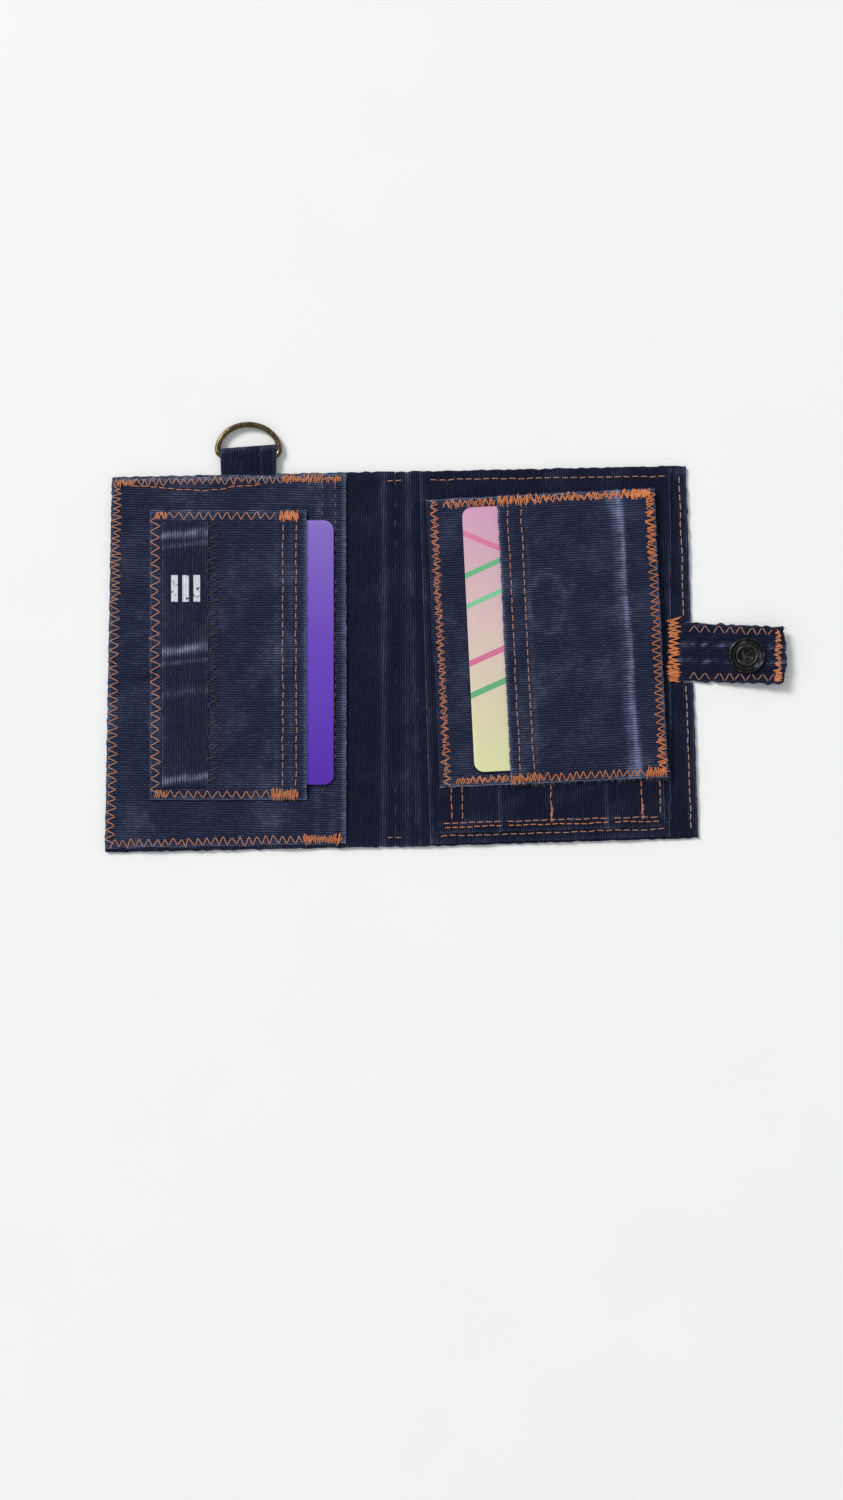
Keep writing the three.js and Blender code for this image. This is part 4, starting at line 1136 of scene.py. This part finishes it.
sew("outer_pocket_sewing", outer_sewing, on_outer, copper_thread, "left_panel", ["outer_pocket_zigzag"])

foot_left, foot_right, head_right, head_left = band_corners("card_pocket_zigzag", 1.6)
reach_in = 8.2 * right_mm
card_sewing = sewn((zigzag, foot_left, head_left, 3.4, 3.5),
                   (zigzag, foot_left, foot_right, 2.7, 3.1),
                   (zigzag, head_left, head_right, 2.7, 3.1))
sew("card_pocket_sewing", card_sewing, on_card_pocket, copper_thread, "left_panel", ["card_pocket_zigzag"])
bars = sewn((bar, head_right + reach_in / 5, head_right + reach_in * 0.9, 3.0, 0.24),
            (bar, foot_right - reach_in / 8, foot_right + reach_in * 0.9, 3.0, 0.24),
            (zigzag, foot_left, foot_left + 4 * right_mm, 2.7, 1.2),
            (zigzag, head_left, head_left + 4 * right_mm, 2.7, 1.4))
sew("card_pocket_bars", bars, on_card_pocket, orange_thread, "left_panel")
on_patch = surfaces["waistband_patch_cloth"]


def patch_edge(x, y):
    """The patch's top where there is patch, and the pocket's beside it."""
    return np.where(x < patch_right, on_patch(x, y), on_card_pocket(x, y))


patch_sewing = zigzag(middle_line("waistband_patch_zigzag"), 4.4, 3.6, 0.4)
sew("waistband_patch_sewing", patch_sewing, sunk(patch_edge, 0.10), ink_thread, "left_panel",
    ["waistband_patch_zigzag"], slot="navy_thread", size=0.27)
for pocket, top, depth in (("outer_pocket", on_outer, 0.22), ("card_pocket", on_card_pocket, 0.0)):
    for n in (1, 2):
        sew_row(f"{pocket}_hem_sewing_{n}", f"{pocket}_hem_stitch_{n}", sunk(top, depth), copper_thread,
                "left_panel")

# %% Stitches on the spine and the right-hand panel
for end in ("top", "bottom"):
    sew_row(f"spine_sewing_{end}", f"stitch_spine_{end}", surfaces["lining_cloth_left"], copper_thread,
            "spine", 2.2, 0.6)
    sew_row(f"panel_sewing_{end}", f"stitch_right_{end}", inner_top, copper_thread, "right_panel")
for end in ("upper", "lower"):
    sew_row(f"edge_sewing_{end}", f"stitch_right_edge_{end}", on_lining_right, beige_thread, "right_panel")


def beside(node, right, up=0.0):
    """The middle line of a node, moved by this many mm."""
    return line(*(Vector(p) + right * right_mm + up * up_mm for p in middle_line(node)))


for n in (1, 2, 3):
    node = f"coin_pocket_stitch_{n}"
    upright = middle_line(node)
    foot_end = Vector(upright[0])
    cross = line(foot_end - 1.9 * up_mm, foot_end + 3.2 * up_mm)
    ending = straight(cross, 1.6, 0.1, 0.25) + straight(cross, 1.2, 0.1, 0.3) if n > 1 else []
    sew(f"coin_sewing_{n}", straight(upright) + ending, on_coin, orange_thread, "right_panel", [node])
    sew_row(f"coin_foot_sewing_{n}", f"coin_pocket_foot_stitch_{n}", on_coin, copper_thread, "right_panel")
for n, first, aside in ((4, 1, 3.6), (5, 3, 6.1)):
    sew(f"coin_sewing_{n}", straight(beside(f"coin_pocket_stitch_{first}", aside)), on_coin, copper_thread,
        "right_panel")
for n in (1, 2, 3):
    again = straight(beside(f"coin_pocket_foot_stitch_{n}", 0.4, -1.4), 2.1, 0.3, 0.14)
    sew(f"coin_foot_second_sewing_{n}", again, on_coin, orange_thread, "right_panel")
bar_low, bar_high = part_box("strap_bartack")
bar_x, bar_wide = (bar_low.x + bar_high.x) / 2, (bar_high.x - bar_low.x) / mm
bar_line = line((bar_x, bar_low.y), (bar_x, bar_high.y))
root_bar = [*zigzag(bar_line, bar_wide * 0.8, 1.35, 0.3), *zigzag(bar_line, bar_wide * 0.55, 1.7, 0.4),
            *bar(line(bar_line[0], (bar_x, bar_low.y + 3 * mm)), bar_wide * 0.6, 0.45, 0.3)]


def root_top(x, y):
    return np.maximum(inner_top(x, y), strap_top(x, y))


sew("strap_root_bar", root_bar, root_top, orange_thread, "right_panel", ["strap_bartack"], size=0.19)

# %% Stitches on the leaf
on_leaf_pocket = surfaces["leaf_pocket_cloth"]
foot_left, foot_right, head_right, head_left = band_corners("leaf_pocket_zigzag", 1.5)
leaf_sewing = sewn((zigzag, head_left, head_right, 2.9, 2.0, 0.28),
                   (zigzag, head_right, foot_right, 3.0, 2.3, 0.2),
                   (zigzag, foot_right, foot_left, 2.8, 2.3, 0.22),
                   (zigzag, head_left, head_right, 1.9, 1.5, 0.34))
sew("leaf_pocket_sewing", leaf_sewing, on_leaf_pocket, orange_thread, "leaf", ["leaf_pocket_zigzag"],
    size=0.15)
reach_in = leaf_axis * -9.5 * mm
down_side = (foot_right - head_right).normalized() * mm
bars = sewn((bar, head_left, head_left + reach_in, 2.6, 0.5, 0.2),
            (bar, foot_left, foot_left + reach_in, 2.5, 0.5),
            (bar, head_right + reach_in * 0.6, head_right, 2.8, 0.45),
            (zigzag, head_right, head_right + down_side * 22, 2.9, 1.4, 0.4),
            (bar, foot_right + reach_in / 2, foot_right + leaf_axis * 0.8 * mm, 2.8, 0.38, 0.2),
            (zigzag, foot_right, foot_right - down_side * 12, 2.9, 1.5, 0.35))
sew("leaf_pocket_bars", bars, on_leaf_pocket, orange_thread, "leaf", size=0.18)
twice = (("leaf_page_sewing_top", "leaf_page_zigzag_top", on_leaf, (2.8, 2.1, 0.25), (2.0, 1.6, 0.3)),
         ("leaf_page_sewing_bottom", "leaf_page_zigzag_bottom", on_leaf, (2.8, 2.1, 0.25), (2.0, 1.6, 0.3)),
         ("leaf_root_sewing", "leaf_spine_zigzag", sunk(on_leaf, 0.14), (3.3, 2.3, 0.2), (1.6, 3.1, 0.25)))
for name, node, surface, *passes in twice:
    row = [stitch for shape in passes for stitch in zigzag(middle_line(node), *shape)]
    sew(name, row, surface, orange_thread, "leaf" if "page" in name else "leaf_spine", [node], size=0.15)
for n in (1, 2):
    sew_row(f"leaf_hem_sewing_{n}", f"leaf_pocket_hem_stitch_{n}", on_leaf_pocket, copper_thread, "leaf")

# %% Stitches on the strap
tip_bar_x = strap_end - 2.9 * mm
for end, edge, inset in (("top", head_y, -1.9 * mm), ("bottom", foot_y, 1.9 * mm)):
    for part, x0, x1, pitch, surface in (
            ("bridge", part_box(f"strap_bridge_zigzag_{end}")[0].x, second_fold.x - 0.6 * mm, 3.4, strap_top),
            ("tip", second_fold.x + 0.6 * mm, tip_bar_x - 1.5 * mm, 3.5, sunk(strap_top, 0.12))):
        row = zigzag(line((x0, edge(x0) + inset), (x1, edge(x1) + inset)), 2.8, pitch)
        sew(f"strap_{part}_sewing_{end}", row, surface, copper_thread, f"strap_{part}",
            [f"strap_{part}_zigzag_{end}"], size=0.14)
bar_foot, bar_head = foot_y(tip_bar_x) + 0.9 * mm, head_y(tip_bar_x) - 1.2 * mm
tip_line = line((tip_bar_x, bar_foot), (tip_bar_x, bar_head))
tip_bar = [*zigzag(tip_line, 2.5, 1.3, 0.3), *zigzag(tip_line, 2.0, 1.5, 0.35),
           *bar(line(tip_line[0], (tip_bar_x, bar_foot + 3.5 * mm)), 2.8, 0.3, 0.04)]
sew("strap_tip_bar", tip_bar, sunk(strap_top, 0.27), orange_thread, "strap_tip", ["strap_tip_bartack"],
    size=0.22)

# %% [markdown]
# ## Frayed edges
# Jeans cloth that was cut and not hemmed sheds its threads. Each fibre is a fine three-sided curved
# hair that starts in the edge and wanders outwards. A hair system would look the same here, but this
# mesh goes wherever the wallet goes and turns with the panel that it grows from.

# %% Frayed edges
def fray(name, points, surface, body, count, reach, size=0.055):
    """Hairs along a line of the cloth's edge. reach and size are in mm."""
    share = np.sort(rng.uniform(0, 1, count))
    start = line_at(points, share)
    ahead = np.array(points[-1]) - np.array(points[0])
    ahead = ahead / np.linalg.norm(ahead)
    outward = np.array([ahead[1], -ahead[0]])
    angle = rng.normal(0, 0.75, (count, 1))
    bend = rng.normal(0, 0.9, (count, 1))
    length = (reach * mm) * rng.uniform(0.25, 1, (count, 1)) ** 1.6
    steps, corners = np.linspace(0, 1, 5), np.arange(3) * full_turn / 3
    spots, place = [], start - outward * 0.35 * mm
    for step in steps:
        heading = angle + bend * step
        spots.append(place.copy())
        place = place + (outward * np.cos(heading) + ahead * np.sin(heading)) * length / 4
    spots = np.stack(spots, 1)[:, :, None]
    arch = rng.uniform(0, 0.25, (count, 1)) * mm * np.sin(steps * math.pi)
    z = surface(start[:, 0], start[:, 1])[:, None] - 0.1 * mm - steps * 0.25 * mm + arch
    thin = (size * mm * (1 - 0.6 * steps))[None, :, None]
    x = spots[..., 0] + thin * np.cos(corners) * ahead[0]
    y = spots[..., 1] + thin * np.cos(corners) * ahead[1]
    high = np.maximum(z[:, :, None] + thin * np.sin(corners), 0.05 * mm)
    co = np.stack([x, y, high], 3).reshape(-1, 3)
    one = [(r * 3 + s, r * 3 + (s + 1) % 3, r * 3 + 3 + (s + 1) % 3, r * 3 + 3 + s)
           for r in range(4) for s in range(3)] + [(2, 1, 0), (12, 13, 14)]
    faces = [tuple(i + n * 15 for i in face) for n in range(count) for face in one]
    u = np.tile(np.repeat(steps, 3), count) * reach * mm + np.repeat(np.arange(count) * 0.011, 15)
    made = mesh_of(name, co, faces, u, np.tile([0, 0.5, 1], 5 * count))
    edit(made)
    bpy.ops.mesh.normals_make_consistent(inside=False)
    bpy.ops.object.mode_set(mode="OBJECT")
    if body == "strap_tip":
        tilted(made)
    finished(made, frayed_cotton, angle=80)
    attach(made, body)


outer, pocket, leaf_pocket = (corners_of(node) for node in ("outer_pocket", "card_pocket", "leaf_pocket"))
tip_start, tip_stop = second_fold.x + 1.5 * mm, strap_end - 1.5 * mm
start_foot, start_head = foot_y(tip_start), head_y(tip_start)
end_foot, end_head = foot_y(strap_end), head_y(strap_end)
hair_x = strap_end - 0.6 * mm
frays = (
    ("outer_pocket_fray_foot", outer[0], outer[1], on_outer, "left_panel", 170, 1.2),
    ("outer_pocket_fray_head", outer[2], outer[3], on_outer, "left_panel", 150, 0.8),
    ("card_pocket_fray_left", pocket[3], pocket[0], on_card_pocket, "left_panel", 150, 0.9),
    ("card_pocket_fray_foot", pocket[0], pocket[1], on_card_pocket, "left_panel", 70, 0.9),
    ("leaf_pocket_fray_foot", leaf_pocket[0], leaf_pocket[1], on_leaf_pocket, "leaf", 430, 2.1),
    ("leaf_page_fray_foot", page_corners[0], leaf_pocket[0], on_leaf, "leaf", 90, 1.8),
    ("leaf_pocket_fray_right", leaf_pocket[1], leaf_pocket[2], on_leaf_pocket, "leaf", 150, 0.9),
    ("leaf_pocket_fray_head", leaf_pocket[2], leaf_pocket[3], on_leaf_pocket, "leaf", 130, 0.8),
    ("shell_fray_right", *shell_right_corners[1:3], on_lining_right, "right_panel", 90, 0.8),
    ("strap_fray_foot", (tip_start, start_foot), (tip_stop, end_foot), strap_top, "strap_tip", 90, 1.3),
    ("strap_fray_end", (hair_x, end_foot), (hair_x, end_head), strap_top, "strap_tip", 110, 1.6),
    ("strap_fray_head", (tip_stop, end_head), (tip_start, start_head), strap_top, "strap_tip", 80, 1.0))
for name, first, last, surface, body, count, reach in frays:
    fray(name, line(first, last), surface, body, count, reach)

# %% [markdown]
# ## Ring and its loop
# The ring is one bent wire. The working frame's wire is right in shape but coarse, so a copy of it is
# merged into one skin and subdivided. The loop is a strip of denim folded round the ring's bar, with
# both ends sewn into the panel: a grid whose rows follow that path, made thick by Solidify.

# %% Ring
ring = added("ring_wire", frame["nodes"]["d_ring"].data.copy())
ring.data.name = ring.name
edit(ring)
bpy.ops.mesh.remove_doubles(threshold=0.002 * mm)
bpy.ops.mesh.tris_convert_to_quads()
bpy.ops.object.mode_set(mode="OBJECT")
finer = ring.modifiers.new("finer", "SUBSURF")
finer.levels = 2
finer.render_levels = 2
finished(ring, old_brass, angle=60)
dress(ring, "ring", "d_ring", slot="old_brass")

# %% Loop for the ring
loop_low, loop_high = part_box("ring_loop")
ring_place = joint_place["ring_swing"]
wire_radius = 0.95 * mm
wrap = wire_radius + 0.18 * mm
under, over = 0.62 * mm, 0.94 * mm  # the heights of the strip's two ends
loop_path = [(loop_low.y, under), (half_height - 0.7 * mm, under), (ring_place.y - 2.2 * mm, 0.30 * mm)]
for step in range(-5, 6):
    a = step * math.pi / 11
    loop_path.append((ring_place.y + wrap * math.cos(a) + 1.9 * mm * math.cos(a) ** 2,
                      ring_place.z + (wrap + 0.05 * mm) * math.sin(a)))
loop_path += [(ring_place.y - 2.4 * mm, ring_place.z + wire_radius), (half_height - 0.5 * mm, 1.45 * mm),
              (loop_low.y, over)]
loop_run = sum(math.dist(a, b) for a, b in zip(loop_path, loop_path[1:]))
loop_wide = loop_high.x - loop_low.x
print("the loop's strip runs", round(loop_run / mm, 1), "mm")
deselect()
bpy.ops.mesh.primitive_grid_add(x_subdivisions=34, y_subdivisions=70, size=1)
loop = started("ring_loop_cloth")
u, v, _ = points_of(loop).T + 0.5
y, z = line_at(loop_path, v).T
across = loop_wide * (u - 0.5)
seams = sum(band(across, at, 0.30 * mm) for at in (-2.9 * mm, 3.6 * mm)) * 0.36 * mm
wrinkle = 0.22 * mm * ripple(across * 3.0, y * 4.0) * smooth((y - half_height) / (2 * mm))
slope = across * 0.075 * smooth((y - half_height) / (8 * mm))
bend_wear = 0.5 * band(v, 0.5, 0.06) * patchy(across * 4, y * 4, 0.4)
side_wear = 0.30 * band(np.abs(across), 8.6 * mm, 0.5 * mm) + 0.22 * band(across, 4.3 * mm, 0.4 * mm)
lay_weave(loop.data, v * loop_run, across)
paint_wear(loop, bend_wear + side_wear)
move_points(loop, (loop_low.x + loop_high.x) / 2 + across, y + slope,
            z + (v > 0.5) * (np.abs(wrinkle) - seams))
thickened(loop, 0.26 * mm)
finished(loop, deep_denim, angle=60)
dress(loop, "left_panel", "ring_loop")

# %% [markdown]
# ## Snap
# A ring-spring snap is four turned parts. Each is spun from its section: a ring of points moved to the
# section's corners, spun a full turn about the snap's axis. Sharp corners get a fine bevel, because
# pressed brass never has one. The section's heights are measured from the strap's face.

# %% Turned parts
def spun(name, section, centre, body, look, node, soft=0.08):
    """section lists (radius, height) in mm round the closed outline of a part."""
    deselect()
    bpy.ops.mesh.primitive_circle_add(vertices=len(section), radius=mm, location=(0, 0, 0))
    piece = started(name)
    for vertex, (radius, height) in zip(piece.data.vertices, section):
        vertex.co = (radius * mm, 0, height * mm)
    edit(piece)
    bpy.ops.mesh.spin(steps=64, angle=full_turn, center=(0, 0, 0), axis=(0, 0, 1))
    bpy.ops.mesh.select_all(action="SELECT")
    bpy.ops.mesh.remove_doubles(threshold=0.004 * mm)
    bpy.ops.mesh.normals_make_consistent(inside=False)
    bpy.ops.object.mode_set(mode="OBJECT")
    bevelled(piece, soft * mm, 28)
    piece.location = centre
    finished(piece, look, angle=50)
    if body == "strap_tip":
        tilted(piece)
    dress(piece, body, node, slot="gunmetal")


# The place of the snap on the strap as it would be if the tip weren't tilted.
socket_low, socket_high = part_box("snap_socket")
socket_middle = (socket_low + socket_high) / 2
from_fold = socket_middle - second_fold
snap_x = second_fold.x + from_fold.x * math.cos(tip_lift) + from_fold.z * math.sin(tip_lift)
snap_place = Vector((snap_x, socket_middle.y, strap_face + strap_thick))
socket_section = [(1.65, 0.03), (5.6, 0.03), (5.9, 0.33), (5.9, 0.78), (5.75, 1.02), (5.45, 1.12),
                  (5.15, 1.05), (4.8, 0.56), (3.05, 0.50), (3.05, 0.33), (1.65, 0.33)]
eyelet_section = [(3.75, 0.54), (3.5, 1.1), (3.3, 1.26), (2.95, 1.26), (2.8, 1.1), (2.8, 1.0), (3.05, 0.95),
                  (3.05, 0.54)]
cap_section = [(0.0, -2.05), (3.4, -1.97), (5.0, -1.75), (5.75, -1.52), (6.0, -1.32), (6.0, -1.15),
               (1.5, -1.15), (1.5, 0.08), (1.1, 0.14), (0.0, 0.14)]
stud_section = [(1.0, 0.35), (1.75, 0.2), (2.1, 0.3), (2.1, 0.38), (1.65, 0.55), (1.65, 1.27), (4.4, 1.27),
                (4.4, 1.47), (1.0, 1.47)]
spun("snap_socket_turned", socket_section, snap_place, "strap_tip", gunmetal, "snap_socket")
spun("snap_eyelet_turned", eyelet_section, snap_place, "strap_tip", lighter_gunmetal, "snap_socket")
spun("snap_cap_turned", cap_section, snap_place, "strap_tip", gunmetal, "snap_cap")
spun("snap_stud_turned", stud_section, Vector((stud.x, stud.y, 0)), "left_panel", gunmetal, "snap_stud",
     soft=0.04)
# The spring gets the near-black steel, which is painted shade for the socket's hole.
for node, look in (("snap_post", gunmetal), ("socket_spring", spring_steel)):
    for place in frame["nodes"][node].material_slots:
        place.material = look

# %% [markdown]
# ## Floor and light
# A pale matt table, lit by one large soft lamp from the upper left and a bright even sky, gives short
# soft shadows that run to the lower right.

# %% Floor
deselect()
bpy.ops.mesh.primitive_plane_add(size=6, location=(0, 0, frame_low.z - 0.02 * mm))
floor = started("floor")
finish, shader, start = material("pale_table", 0.7)
mottle = noise(start, start.node("ShaderNodeTexCoord", out=3), 24.0, 2.0)
use(start, shader, Base_Color=mottle.mix((0.765, 0.765, 0.763), (0.785, 0.785, 0.782)))
floor.data.materials.append(finish)
floor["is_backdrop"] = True

# %% Light
world = bpy.data.worlds.new("studio")
bpy.context.scene.world = world
world.use_nodes = True
sky = world.node_tree.nodes["Background"].inputs
sky["Color"].default_value = (0.95, 0.975, 1.0, 1)
sky["Strength"].default_value = 0.60

key = bpy.data.lights.new("key", "AREA")
key.shape = "DISK"
key.size = 4.5
key.energy = 1500.0
key.color = (1, 0.985, 0.965)
lamp = added("key", key)
lamp.location = (-7.5, 6.3, 8.1)
lamp.rotation_euler = (-lamp.location).to_track_quat("-Z", "Y").to_euler()
bpy.context.scene.view_settings.view_transform = "Standard"

# %% Sizes kept for comparison, and the end
low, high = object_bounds()
print("visual box in mm:", [round(x / mm, 1) for x in (*low, *high)])
